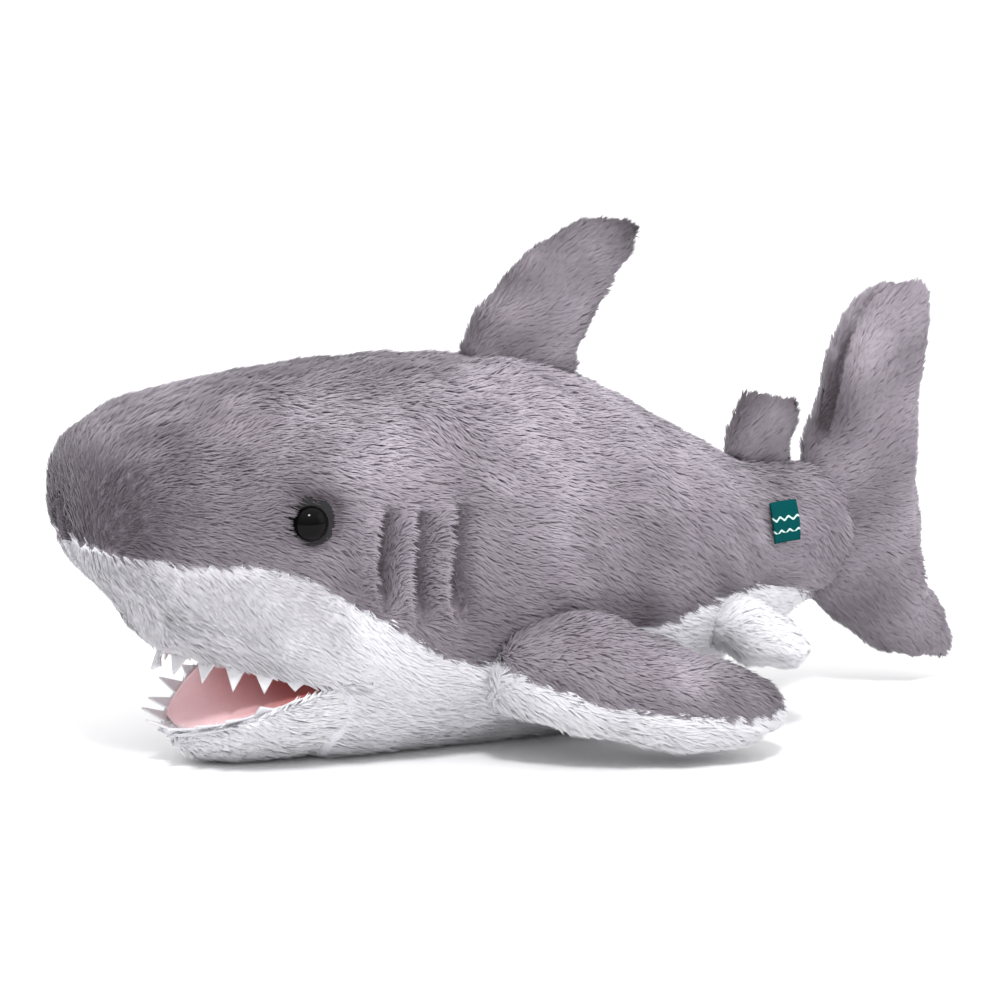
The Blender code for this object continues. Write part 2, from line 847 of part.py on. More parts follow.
def cylinder_cutter(name, radius, low, high, place, turn):
    """A hidden cylinder that cuts its own shape out of other pieces."""
    made = spin_solid(name, [(0.0, low), (radius, low), (radius, high), (0.0, high)], 24, None)
    made.data.materials.clear()
    made.location = place
    made.rotation_mode = "QUATERNION"
    made.rotation_quaternion = turn
    made.hide_render = True
    made.display_type = "WIRE"
    return made


def cut(piece, cutter):
    """Takes a cutter's shape out of a piece."""
    step = piece.modifiers.new("cut_" + cutter.name, "BOOLEAN")
    step.operation = "DIFFERENCE"
    step.solver = "EXACT"
    step.object = cutter


def make_eye(name, side, panel, filling, looks):
    """One eye with its felt patch, its shank through the fabric and its washer inside."""
    place, turn = eye_frame(side)
    base = GAP + FELT + 0.5 * MM + GAP
    dome = []
    for i in range(7):
        a = i * math.pi / 2 / 6
        dome.append((EYE_RADIUS * math.sin(a), base + EYE_DOME * math.cos(a)))
    dome[0] = (0.0, base + EYE_DOME)
    profile = dome + [
        (EYE_RADIUS - 0.6 * MM, base - 0.4 * MM),
        (EYE_SHANK_RADIUS, base - 0.4 * MM),
        (EYE_SHANK_RADIUS, -EYE_SHANK_LENGTH),
        (0.0, -EYE_SHANK_LENGTH),
    ]
    eye = spin_solid("eye_" + name, profile, 24, looks["black"])
    hole = EYE_SHANK_RADIUS + GAP
    patch = spin_solid(
        "eye_patch_" + name,
        [
            (hole, GAP + 0.1 * MM),
            (FELT_PATCH_RADIUS, GAP + 0.1 * MM),
            (FELT_PATCH_RADIUS, GAP + 0.1 * MM + FELT),
            (hole, GAP + 0.1 * MM + FELT),
        ],
        24,
        looks["felt_black"],
    )
    top = -(FABRIC + 0.9 * MM)
    washer = spin_solid(
        "eye_washer_" + name,
        [
            (hole, top - WASHER_THICKNESS),
            (WASHER_RADIUS, top - WASHER_THICKNESS),
            (WASHER_RADIUS, top),
            (hole, top),
        ],
        24,
        looks["washer"],
    )
    for piece in (eye, patch, washer):
        piece.location = place
        piece.rotation_mode = "QUATERNION"
        piece.rotation_quaternion = turn
    shank_hole = cylinder_cutter("shank_hole_" + name, hole, -8 * MM, 3 * MM, place, turn)
    pocket = cylinder_cutter(
        "washer_pocket_" + name, WASHER_RADIUS + 2 * GAP, -EYE_SHANK_LENGTH - 1 * MM, 2 * MM, place, turn
    )
    cut(panel, shank_hole)
    cut(filling, pocket)


def make_label(look):
    """The folded label sewn to the left flank ahead of the tail."""
    outer = []
    inner = []
    for k, x in enumerate(spread(LABEL_X, LABEL_X + LABEL_LENGTH, 5)):
        m = station_number(x)
        lift = 0.6 * MM + 0.25 * MM * k
        shape = section(x)
        low = angle_at(LABEL_BOTTOM, shape)
        high = angle_at(LABEL_TOP, shape)
        angles = spread(low, high, 5)
        inner.append([body_surface(m, a, -lift) for a in angles])
        outer.append([body_surface(m, a, -lift - LABEL_THICKNESS) for a in angles])
    return sheet_solid("label", outer, inner, look, -1.0)


def fin_half(row, j, root=0.0):
    """Half thickness of a fin at a chord step."""
    bulge = 1.8 + (row[3] - 1.8) * math.sin(math.pi * j / FIN_CHORD_STEPS)
    return max(bulge, root * math.sqrt(max(math.cos(math.pi * j / (2 * FIN_CHORD_STEPS)), 0.0)))


def fin_chord(row, j):
    """Place along a fin's chord at a chord step."""
    share = (1 - math.cos(math.pi * j / FIN_CHORD_STEPS)) / 2
    return row[1] + (row[2] - row[1]) * share


def fin_grids(rows, place, roots=None):
    """Outer and inner points of one face of a fin, before they are turned into metres."""
    outer = []
    inner = []
    for i, row in enumerate(rows):
        out_row = []
        in_row = []
        root = roots[i] if roots else 0.0
        for j in range(FIN_CHORD_STEPS + 1):
            half = fin_half(row, j, root)
            under = max(half - FABRIC / MM, EDGE / MM)
            out_row.append(place(row, j, half))
            in_row.append(place(row, j, under))
        outer.append(out_row)
        inner.append(in_row)
    return outer, inner


def fin_filling(name, rows, place, look, least=6.4, roots=None):
    """The fibre filling of a fin, inside its two faces."""
    used = [i for i, row in enumerate(rows) if row[3] >= least]
    rings = []
    for i in used:
        row = rows[i]
        root = roots[i] if roots else 0.0
        right = []
        left = []
        for j in range(2, FIN_CHORD_STEPS - 1):
            half = max(fin_half(row, j, root) - (FABRIC + FIN_SLACK) / MM, EDGE / MM)
            right.append(place(row, j, half))
            left.append(place(row, j, -half))
        rings.append(right + left[::-1])
    return ring_solid(name, rings, look)


def fin_pieces(names, rows, place, looks, hinge, turn, roots=None):
    """Two faces and the filling of a fin, hung on its hinge line."""
    outer, inner = fin_grids(rows, place, roots)
    first = sheet_solid(names[0], outer, inner, looks[0])
    outer, inner = fin_grids(rows, lambda row, j, half: place(row, j, -half), roots)
    second = sheet_solid(names[1], outer, inner, looks[1])
    filling = fin_filling(names[2], rows, place, looks[2], 6.4, roots)
    for piece in (first, second, filling):
        piece.location = hinge
        piece.rotation_mode = "QUATERNION"
        piece.rotation_quaternion = turn
    return first, second, filling


def back_line(start, end):
    """Hinge line over the back between two places: its middle, its slope and its length."""
    low = np.array([start * SX, 0.0, section(start)[0] * SZ])
    high = np.array([end * SX, 0.0, section(end)[0] * SZ])
    along = (high - low) / np.linalg.norm(high - low)
    up = np.array([-along[2], 0.0, along[0]])
    rise = 0.0
    for x in spread(start, end, 25):
        point = np.array([x * SX, 0.0, section(x)[0] * SZ])
        rise = max(rise, float(np.dot(point - low, up)))
    middle = (low + high) / 2 + up * (rise + ROOT_LIFT)
    slope = math.atan2(-along[2], along[0])
    return Vector([float(c) for c in middle]), slope


def make_dorsal(prefix, span, rows, looks):
    """A fin that stands on the back."""
    middle, slope = back_line(*span)
    turn = Matrix.Rotation(slope, 4, "Y").to_quaternion()

    def place(row, j, half):
        return (fin_chord(row, j) * SX, half * MM, row[0] * SZ)

    names = (prefix + "_panel_right", prefix + "_panel_left", prefix + "_filling")
    return fin_pieces(names, rows, place, looks, middle, turn)


def tail_radius(z):
    """Radius of the rounded end of the body at a height, with the clearance of the tail's socket."""
    top, low, width, widest = section(TAIL_AXIS)
    extra = SOCKET_CLEARANCE
    half = (top - low) / 2 + extra
    share = min(abs(z - (top + low) / 2) / half, 1.0)
    return (width + extra) * (1 - share ** SECTION_POWER) ** (1 / SECTION_POWER)


def tail_rows():
    """The rows of the tail fin, closer together where its socket turns round the end of the body."""
    top, low, width, widest = section(TAIL_AXIS)
    middle = (top + low) / 2
    half = (top - low) / 2 + SOCKET_CLEARANCE
    rear = smooth_curve(TAIL_ROWS, 2)
    thick = smooth_curve(TAIL_ROWS, 3)
    shares = (1.0, 0.99, 0.96, 0.9, 0.78, 0.55, 0.2)
    sockets = [middle - half * s for s in shares] + [middle + half * s for s in reversed(shares)]
    rows = [(*row, 0.0) for row in TAIL_ROWS if row[0] < sockets[0] - 3.0]
    roots = [0.0] * len(rows)
    for z in sockets:
        reach = tail_radius(z)
        front = TAIL_AXIS + reach * math.cos(TAIL_WRAP)
        rows.append((z, front, rear(z), thick(z), reach + SOCKET_GAP))
        roots.append(reach * math.sin(TAIL_WRAP))
    for row in TAIL_ROWS:
        if row[0] > sockets[-1] + 3.0:
            rows.append((*row, 0.0))
            roots.append(0.0)
    return rows, roots


def make_tail(looks):
    """The tail fin, its front hollowed to turn round the end of the body."""
    rows, roots = tail_rows()
    middle = section(TAIL_AXIS)[3]

    def place(row, j, half):
        x = fin_chord(row, j) - TAIL_AXIS
        if row[4]:
            reach = row[4] * SY / SX
            across = abs(half) / SX
            x = max(x, math.sqrt(max(reach * reach - across * across, 0.0)))
        return (x * SX, half * MM, (row[0] - middle) * SZ)

    hinge = Vector((TAIL_AXIS * SX, 0.0, middle * SZ))
    names = ("tail_panel_right", "tail_panel_left", "tail_filling")
    return fin_pieces(names, rows, place, looks, hinge, Matrix.Identity(4).to_quaternion(), roots)


def flank_line(x, z, reach, side):
    """Hinge point of a side fin, clear of the flank over its root."""
    furthest = 0.0
    for place in spread(x - reach, x + reach, 13):
        shape = section(place)
        point = section_point(place, angle_at(z, shape), shape)
        furthest = max(furthest, float(point[1]) * SY)
    return Vector((x * SX, side * (furthest + 3.0 * MM), z * SZ))


def make_side_fin(prefix, names, side, rows, x, z, reach, droop, looks):
    """A fin that hangs out from the flank and points back."""
    hinge = flank_line(x, z, reach, side)
    turn = Matrix.Rotation(-side * droop, 4, "X").to_quaternion()

    def place(row, j, half):
        return (row[0] * SX, side * fin_chord(row, j) * SY, half * MM)

    full = [prefix + "_" + name for name in names]
    return fin_pieces(full, rows, place, looks, hinge, turn)


def build():
    """Builds every piece of the toy."""
    clear_scene()
    grey = material("grey_plush", GREY, 0.9)
    dark = material("dark_grey_plush", DARK_GREY, 0.9)
    white = material("white_plush", WHITE, 0.9)
    pink = material("pink_lining", PINK, 0.8)
    felt = material("white_felt", WHITE, 0.95)
    felt_black = material("black_felt", BLACK, 0.95)
    black = material("black_eye", BLACK, 0.08)
    washer = material("eye_washer", CLEAR_PLASTIC, 0.4)
    teal = material("teal_label", TEAL, 0.6)
    fibre = material("fibre_filling", FIBRE, 0.95)
    backs = make_back_panels(grey)
    make_muzzle_panels(white)
    make_belly_panel(white)
    filling = make_filling(fibre)
    make_roof_lining(pink)
    at, half_length = lip_ribbon(upper_half_width, roof_start(), MOUTH_X - 1.0, UPPER_TEETH_INSET)
    make_teeth("upper_teeth", at, half_length, ROOF_SLOPE, -1.0, felt)
    looks = {"black": black, "felt_black": felt_black, "washer": washer}
    make_eye("left", -1.0, backs[0], filling, looks)
    make_eye("right", 1.0, backs[1], filling, looks)
    make_label(teal)
    jaw = [make_jaw_panel(white), make_jaw_filling(fibre), make_floor_lining(pink)]
    at, half_length = lip_ribbon(lower_half_width, JAW_FRONT + 0.3, MOUTH_X - 1.0, LOWER_TEETH_INSET)
    jaw.append(make_teeth("lower_teeth", at, half_length, -FLOOR_SLOPE, 1.0, felt))
    hinge = Vector((MOUTH_X * SX, 0.0, MOUTH_Z * SZ))
    for piece in jaw:
        piece.data.transform(Matrix.Translation(-hinge))
        piece.location = hinge
    make_dorsal("dorsal", DORSAL_X, DORSAL_ROWS, (dark, dark, fibre))
    make_dorsal("second_dorsal", SECOND_X, SECOND_ROWS, (dark, dark, fibre))
    make_tail((grey, grey, fibre))
    faces = ("panel_top", "panel_bottom", "filling")
    for name, side in (("left", -1.0), ("right", 1.0)):
        make_side_fin(
            "pectoral_" + name,
            faces,
            side,
            PECTORAL_ROWS,
            PECTORAL_X,
            PECTORAL_Z,
            31.0,
            PECTORAL_DROOP,
            (dark, white, fibre),
        )
        make_side_fin(
            "pelvic_" + name,
            faces,
            side,
            PELVIC_ROWS,
            PELVIC_X,
            PELVIC_Z,
            16.0,
            PELVIC_DROOP,
            (white, white, fibre),
        )


build()
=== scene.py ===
import json
import math

import bpy
import numpy as np
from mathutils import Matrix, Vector


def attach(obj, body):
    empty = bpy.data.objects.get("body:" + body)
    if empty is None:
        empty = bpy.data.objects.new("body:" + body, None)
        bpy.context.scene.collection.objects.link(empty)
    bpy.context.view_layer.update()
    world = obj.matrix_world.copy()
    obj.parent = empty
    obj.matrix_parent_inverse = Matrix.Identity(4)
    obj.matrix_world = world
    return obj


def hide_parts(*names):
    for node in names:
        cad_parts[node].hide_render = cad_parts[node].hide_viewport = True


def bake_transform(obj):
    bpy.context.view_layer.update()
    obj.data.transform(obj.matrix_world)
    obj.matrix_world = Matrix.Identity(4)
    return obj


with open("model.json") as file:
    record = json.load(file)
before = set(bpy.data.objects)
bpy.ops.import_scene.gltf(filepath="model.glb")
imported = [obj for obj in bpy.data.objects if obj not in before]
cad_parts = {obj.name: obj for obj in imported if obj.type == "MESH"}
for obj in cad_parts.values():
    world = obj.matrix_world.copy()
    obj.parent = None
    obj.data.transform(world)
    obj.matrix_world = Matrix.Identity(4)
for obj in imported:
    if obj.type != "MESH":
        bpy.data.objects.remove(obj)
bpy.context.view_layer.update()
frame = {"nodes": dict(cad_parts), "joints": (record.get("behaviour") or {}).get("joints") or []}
mm = 0.001
groundGap = 0.4 * mm  # the forms' lowest points, and a little less for the pile
print("stage: frame loaded,", len(frame["nodes"]), "solids")


def clean(v):
    # each row of an array divided by its length
    return v / np.maximum(np.linalg.norm(v, axis=-1, keepdims=True), 1e-12)


def smoothStep(t):
    # 0 below 0, 1 above 1, and 3t^2 - 2t^3 between
    t = np.clip(t, 0.0, 1.0)
    return t * t * (3 - 2 * t)


def curveThrough(xs, ys):
    # a monotone cubic through the points, with harmonic-mean slopes, for whole arrays of x
    xs, ys = np.array(xs, float), np.array(ys, float)
    steps, rises = np.diff(xs), np.diff(ys)
    slopes = rises / steps
    tangents = np.concatenate([[slopes[0]], np.zeros(len(xs) - 2), [slopes[-1]]])
    a, b = slopes[:-1], slopes[1:]
    w1, w2 = 2 * steps[1:] + steps[:-1], steps[1:] + 2 * steps[:-1]
    same = a * b > 0
    tangents[1:-1][same] = ((w1 + w2)[same]) / (w1[same] / a[same] + w2[same] / b[same])

    def value(x):
        x = np.clip(np.asarray(x, float), xs[0], xs[-1])
        i = np.clip(np.searchsorted(xs, x, side="right") - 1, 0, len(xs) - 2)
        t, h = (x - xs[i]) / steps[i], steps[i]
        return (
            (1 + 2 * t) * (1 - t) ** 2 * ys[i]
            + t * (1 - t) ** 2 * h * tangents[i]
            + t * t * (3 - 2 * t) * ys[i + 1]
            + t * t * (t - 1) * h * tangents[i + 1]
        )

    return value


def waves(points, size, seed, count=9):
    # soft noise from -1 to 1: the mean of sine waves about this long, each in its own direction
    rng = np.random.default_rng(seed)
    directions = clean(rng.normal(size=(count, 3))) * rng.uniform(0.7, 1.4, (count, 1))
    phases = rng.uniform(0, 2 * math.pi, count)
    return np.sin(points @ directions.T * (2 * math.pi / size) + phases).sum(1) / math.sqrt(count)


def hashed(cells, seed, columns):
    # repeatable random numbers from 0 to 1 for whole-number cells
    key = (
        cells[..., 0].astype(np.int64) * 73856093
        ^ cells[..., 1].astype(np.int64) * 19349663
        ^ cells[..., 2].astype(np.int64) * 83492791
        ^ seed * 2654435761
    ) & 0xFFFFFFFF
    found = []
    for k in range(columns):
        key = (key ^ (key >> 16)) * 0x45D9F3B & 0xFFFFFFFF
        key = (key ^ (key >> 15)) * 0x2C1B3C6D & 0xFFFFFFFF
        found.append(((key ^ (key >> 16)) & 0xFFFFFF) / 0x1000000)
    return np.stack(found, -1)


def valuesOf(items, label, columns=1, kind=np.float32):
    # one value, or a row of columns, from each item of a mesh
    found = np.empty(len(items) * columns, kind)
    items.foreach_get(label, found)
    return found.reshape(-1, columns) if columns > 1 else found


def meshPiece(name, points, faces, smooth=True):
    # a mesh object at the origin from an array of points and arrays of faces of 3 or 4 corners
    mesh = bpy.data.meshes.new(name)
    mesh.vertices.add(len(points))
    mesh.vertices.foreach_set("co", np.ascontiguousarray(points, np.float32).ravel())
    sizes = np.concatenate([np.full(len(f), f.shape[1]) for f in faces])
    corners = np.concatenate([f.ravel() for f in faces]).astype(np.int32)
    mesh.loops.add(len(corners))
    mesh.loops.foreach_set("vertex_index", corners)
    mesh.polygons.add(len(sizes))
    mesh.polygons.foreach_set("loop_start", np.concatenate([[0], np.cumsum(sizes)[:-1]]).astype(np.int32))
    mesh.polygons.foreach_set("loop_total", sizes.astype(np.int32))
    mesh.update(calc_edges=True)
    mesh.polygons.foreach_set("use_smooth", np.full(len(sizes), smooth))
    made = bpy.data.objects.new(name, mesh)
    bpy.context.scene.collection.objects.link(made)
    return made


def ringForm(name, rings):
    # a closed form through closed rings of points, with a pole in the middle of the first and last ring
    count, around = rings.shape[:2]
    r, c = np.meshgrid(np.arange(count - 1), np.arange(around), indexing="ij")
    a, b = (r * around + c).ravel(), (r * around + (c + 1) % around).ravel()
    quads = np.stack([a, b, b + around, a + around], 1)
    poles = np.stack([rings[0].mean(0), rings[-1].mean(0)])
    ring = np.arange(around)
    first, last = count * around, count * around + 1
    start = np.stack([np.full(around, first), (ring + 1) % around, ring], 1)
    top = (count - 1) * around
    end = np.stack([np.full(around, last), top + ring, top + (ring + 1) % around], 1)
    points = np.concatenate([rings.reshape(-1, 3), poles])
    tris = np.concatenate([quads[:, :3], quads[:, [0, 2, 3]], start, end])
    p = points[tris]
    volume = np.einsum("ij,ij->i", p[:, 0], np.cross(p[:, 1], p[:, 2])).sum()
    if volume < 0:
        quads, start, end = quads[:, ::-1], start[:, ::-1], end[:, ::-1]
    return meshPiece(name, points, [quads, np.concatenate([start, end])])


def surfaceOf(thing):
    # points, triangles and smooth normals of a mesh object as arrays
    mesh = thing.data
    mesh.calc_loop_triangles()
    points = valuesOf(mesh.vertices, "co", 3).astype(float)
    tris = valuesOf(mesh.loop_triangles, "vertices", 3, np.int32)
    p = points[tris]
    facing = np.cross(p[:, 1] - p[:, 0], p[:, 2] - p[:, 0])
    normals = np.zeros_like(points)
    for k in range(3):
        np.add.at(normals, tris[:, k], facing)
    return points, tris, clean(normals)


clothFrames = 20


def stuffed(form, cap, voxel=5.0, pressure=4.0):
    # blows the form up as sewn cloth: remeshed, pressed from inside, and held to a cap of movement in mm
    remesh = form.modifiers.new("even", "REMESH")
    remesh.mode = "VOXEL"
    remesh.voxel_size = voxel * mm
    cloth = form.modifiers.new("stuffing", "CLOTH")
    settings = cloth.settings
    settings.quality = 5
    settings.mass = 0.3
    settings.tension_stiffness = 15
    settings.compression_stiffness = 15
    settings.bending_stiffness = 0.5
    settings.use_pressure = True
    settings.uniform_pressure_force = pressure
    settings.effector_weights.gravity = 0
    cloth.collision_settings.use_collision = False
    scene = bpy.context.scene
    cloth.show_viewport = False
    even = bpy.data.meshes.new_from_object(form.evaluated_get(bpy.context.evaluated_depsgraph_get()))
    cloth.show_viewport = True
    for step in range(1, clothFrames + 1):
        scene.frame_set(step)
    blown = bpy.data.meshes.new_from_object(form.evaluated_get(bpy.context.evaluated_depsgraph_get()))
    scene.frame_set(1)
    start, end = (valuesOf(m.vertices, "co", 3) for m in (even, blown))
    moved = end - start
    moved -= moved.mean(0)
    far = np.linalg.norm(moved, axis=1, keepdims=True)
    moved *= np.tanh(far / (cap * mm)) * cap * mm / np.maximum(far, 1e-9)
    even.vertices.foreach_set("co", (start + moved).astype(np.float32).ravel())
    even.polygons.foreach_set("use_smooth", np.full(len(even.polygons), True))
    form.modifiers.clear()
    old = form.data
    form.data = even
    bpy.data.meshes.remove(old)
    bpy.data.meshes.remove(blown)
    print("  stuffed", form.name, len(even.vertices), "points")


pileWays = {
    "length": 6.0,  # of a lock, mm
    "width": 0.68,
    "clump": 4.2,  # how far apart the middles of the clumps are
    "gather": 0.34,  # how far the tips lean to the middle of their clump
    "stand": 0.46,  # how upright the roots are against the nap
    "tipStand": 0.20,
    "twist": 0.22,  # of a lock about its own length, radians
    "sink": 0.4,  # how far the roots go under the backing
    "stray": 0.17,
    "tuft": 0.5,  # how far a clump turns away from the nap
}


def nearestClump(points, size, seed):
    # the nearest of one random point in each cell of a cubic grid, and that cell's own random numbers
    cells = np.floor(points / size).astype(np.int64)
    best = np.full(len(points), np.inf)
    centre, own = np.zeros_like(points), np.zeros((len(points), 4))
    for i in (-1, 0, 1):
        for j in (-1, 0, 1):
            for k in (-1, 0, 1):
                cell = cells + np.array([i, j, k])
                draws = hashed(cell, seed, 7)
                place = (cell + draws[:, :3]) * size
                distance = np.square(place - points).sum(1)
                closer = distance < best
                best[closer] = distance[closer]
                centre[closer] = place[closer]
                own[closer] = draws[closer, 3:]
    return centre, own


def growLocks(name, form, count, keep, nap, shade, seed, **changes):
    # tapered locks of two faces each, rooted evenly over the part of a form that keep picks:
    # root, bend and tip follow the nap, lean to the middle of their clump and vary at random
    ways = {**pileWays, **changes}
    rng = np.random.default_rng(seed)
    points, tris, normals = surfaceOf(form)
    p = points[tris]
    sizes = np.linalg.norm(np.cross(p[:, 1] - p[:, 0], p[:, 2] - p[:, 0]), axis=1) / 2
    middle = p.mean(1)
    wanted = keep(middle, clean(normals[tris].mean(1)))
    sizes = sizes * np.clip(wanted, 0, 1)
    total = np.cumsum(sizes)
    at = (np.arange(count) + rng.random(count)) / count * total[-1]
    chosen = np.minimum(np.searchsorted(total, at), len(tris) - 1)
    u, v = rng.random(count), rng.random(count)
    over = u + v > 1
    u[over], v[over] = 1 - u[over], 1 - v[over]
    weights = np.stack([1 - u - v, u, v], 1)[:, :, None]
    root = (p[chosen] * weights).sum(1)
    out = clean((normals[tris[chosen]] * weights).sum(1))
    flow = nap(root, out)
    swirl = np.stack([waves(root, 0.05, seed + k) for k in (1, 2, 3)], 1) * 0.26
    flow = clean(flow) + swirl
    flow = clean(flow - out * (flow * out).sum(1, keepdims=True))
    centre, own = nearestClump(root, ways["clump"] * mm, seed + 5)
    lean = centre - root
    lean -= out * (lean * out).sum(1, keepdims=True)
    reach = np.linalg.norm(lean, axis=1, keepdims=True)
    lean *= np.minimum(1.0, ways["clump"] * mm / np.maximum(reach, 1e-9))
    tuft = (own[:, :3] - 0.5) * ways["tuft"]
    stray = rng.normal(size=(count, 3)) * ways["stray"]
    length = ways["length"] * mm * (0.75 + 0.3 * own[:, 3] + 0.3 * rng.random(count))
    length = (length * (1 + 0.12 * waves(root, 0.03, seed + 7)))[:, None]
    if "thin" in ways:
        length = length * ways["thin"](root)[:, None]
    first = clean(out * ways["stand"] + flow + 0.35 * (tuft + stray))
    second = clean(out * ways["tipStand"] + flow * 0.9 + 0.45 * (tuft + stray))
    root = root - out * ways["sink"] * mm
    bend = root + first * length * 0.5 + lean * ways["gather"] * 0.4
    tip = bend + second * length * 0.5 + lean * ways["gather"] * 0.6
    for part in (bend, tip):
        part[:, 2] = np.maximum(part[:, 2], 0.75 * groundGap)
    side = clean(np.cross(first, out))
    turn = rng.normal(size=(count, 1)) * ways["twist"]
    side = clean(side * np.cos(turn) + np.cross(first, side) * np.sin(turn))
    half = ways["width"] * mm / 2 * rng.uniform(0.75, 1.25, (count, 1))
    blades = np.stack(
        [root - side * half, root + side * half, bend + side * half * 0.85, bend - side * half * 0.85, tip],
        1,
    )
    ids = np.arange(count)[:, None] * 5
    facing = np.cross(side, first)
    flip = ((facing * out).sum(1) < 0)[:, None]
    quads = np.where(flip, ids + [1, 0, 3, 2], ids + [0, 1, 2, 3])
    points3 = np.where(flip, ids + [2, 3, 4], ids + [3, 2, 4])
    made = meshPiece(name, blades.reshape(-1, 3), [quads, points3])
    mesh = made.data
    facing = np.where(flip, -facing, facing)
    soft = clean(out * 1.2 + facing * 0.12)
    tilt = clean(out * 1.2 + facing * 0.12 + second * 0.22)
    bent = np.stack([soft, soft, soft, soft, tilt], 1).reshape(-1, 3)
    mesh.normals_split_custom_set_from_vertices(bent.astype(np.float32))
    tone = 0.5 + 0.12 * (own[:, 3] - 0.5) + 0.07 * rng.normal(size=count)
    tone += 0.12 * waves(root, 0.026, seed + 9)
    dark = shade(root, out)
    for label, values in (
        ("tip", np.tile([0.0, 0.0, 0.55, 0.55, 1.0], count)),
        ("tone", np.repeat(np.clip(tone, 0, 1), 5)),
        ("shade", np.repeat(np.clip(dark, 0, 1), 5)),
    ):
        mesh.attributes.new(label, "FLOAT", "POINT").data.foreach_set("value", values.astype(np.float32))
    addLockMap(mesh, count)
    return made


def addLockMap(mesh, count):
    # a map with one small upright cell for each lock, row after row, in the order that they grow
    across = int(math.ceil(math.sqrt(count)))
    column, row = np.arange(count) % across, np.arange(count) // across
    low = np.stack([column, row], 1) / across
    cell = np.array([[0.3, 0.15], [0.7, 0.15], [0.7, 0.5], [0.3, 0.5], [0.5, 0.85]]) / across
    spots = (low[:, None, :] + cell[None]).reshape(-1, 2)
    corners = valuesOf(mesh.loops, "vertex_index", kind=np.int32)
    layer = mesh.uv_layers.new(name="OFBake")
    layer.data.foreach_set("uv", spots[corners].astype(np.float32).ravel())


joints = {j["name"]: j for j in frame["joints"]}
mouthHinge = np.array(joints["jaw_close"]["pos_m"]) / mm  # corner of the mouth
tailHinge = np.array(joints["tail_swing"]["pos_m"]) / mm

bodyShape = {
    "place": [-225, -205, -185, -165, -150, -135, -121, -100, -60, -25, 20, 60, 100, 145, 153, 160, 166],
    "top": [152, 159.5, 165.5, 170, 173, 175.2, 176.2, 177.2, 177.6, 176.6, 164, 143.5, 122.5, 114, 110,
            103, 92],
    "under": [92, 80, 58, 46.5, 35, 15, 0.5, -1.6, -1.6, -1.6, -0.6, 8, 27, 48, 53, 61, 74],
    "width": [44, 54, 61, 66, 69, 71, 73, 75, 77, 77, 74, 63, 44, 22, 20, 17, 12],
    "widest": [124, 116, 112, 110, 108, 105.5, 103, 100, 95, 90, 84, 78, 77, 82, 82, 82, 83],
    "power": 2.2,  # of the rounded sections, 2 is an ellipse
    "noseLong": 37.0,
    "nosePower": 3.3,
    "noseHeight": 129.0,
    "pileHeight": 3.2,
}
seamShape = {
    "place": [-225, -190, -162, -148, -134, -110, -92, -72, -55, -10, 30, 61, 90, 112, 145, 166],
    "height": [106, 101, 99.5, 96.5, 91, 76.5, 66, 53, 49, 54, 58, 64, 66, 62, 52, 50],
}
mouthShape = {
    "roofSlope": math.tan(math.radians(11.0)),
    "floorSlope": math.tan(math.radians(25.0)),
    "jawFront": -177.0,
    "jawBack": -100.0,
    "jawPower": 2.1,
}
gillShape = {
    "places": [-103.5, -87.5, -70.5],
    "low": [73.0, 67.0, 66.0],
    "high": [124.0, 122.0, 123.0],
    "bend": 3.0,
    "depth": 11.0,
    "lip": 4.5,
}
eyeShape = {"x": -135.0, "z": 116.5, "radius": 7.6, "dome": 5.6, "socket": 3.6}

bodyTop = curveThrough(bodyShape["place"], bodyShape["top"])
bodyUnder = curveThrough(bodyShape["place"], bodyShape["under"])
bodyWidth = curveThrough(bodyShape["place"], bodyShape["width"])
bodyWidest = curveThrough(bodyShape["place"], bodyShape["widest"])
seamHeight = curveThrough(seamShape["place"], seamShape["height"])


def bodySection(x):
    # top, underside, half width and widest height, drawn in towards the tip of the nose
    t = np.clip((x - bodyShape["place"][0]) / bodyShape["noseLong"], 0, 1)
    f = (1 - (1 - t) ** bodyShape["nosePower"]) ** (1 / bodyShape["nosePower"])
    nose = bodyShape["noseHeight"]
    return (
        nose + (bodyTop(x) - nose) * f,
        nose + (bodyUnder(x) - nose) * f,
        bodyWidth(x) * f,
        nose + (bodyWidest(x) - nose) * f,
    )


def sectionPoint(x, angle, shape):
    # a point of a rounded section: |cos|^(2/n) across and |sin|^(2/n) up or down
    top, under, width, widest = shape
    power = 2 / bodyShape["power"]
    c, s = np.clip(np.cos(angle), 0, 1) ** power, np.abs(np.sin(angle)) ** power
    z = np.where(angle >= 0, widest + (top - widest) * s, widest - (widest - under) * s)
    return np.stack([x + 0 * angle, width * c, z], -1)


def angleAt(height, shape):
    # the angle of a section at a height
    top, under, width, widest = shape
    half = np.where(height >= widest, top - widest, widest - under)
    share = np.clip(np.abs(height - widest) / np.maximum(half, 1e-6), 0, 1)
    return np.where(height >= widest, 1.0, -1.0) * np.arcsin(share ** (bodyShape["power"] / 2))


def roofHeight(x):
    return mouthHinge[2] + (mouthHinge[0] - x) * mouthShape["roofSlope"]


def floorHeight(x):
    return mouthHinge[2] - (mouthHinge[0] - x) * mouthShape["floorSlope"]


def gillSpan(k, z):
    # 1 along a tuck's height, fading at both ends
    return smoothStep((z - gillShape["low"][k]) / 9) * smoothStep((gillShape["high"][k] - z) / 9)


def gillDepth(x, y, z):
    # 1 in the slit of a tuck, fading quickly in front of it and slowly behind it
    slit = np.zeros(len(x))
    for k in range(len(gillShape["places"])):
        u = x - gillLine(k, z)
        near = np.where(u < 0, np.exp(-np.square(u / 1.6)), np.exp(-np.square(u / 5.2)))
        slit = np.maximum(slit, gillSpan(k, z) * near)
    return slit * (np.abs(y) > 30)


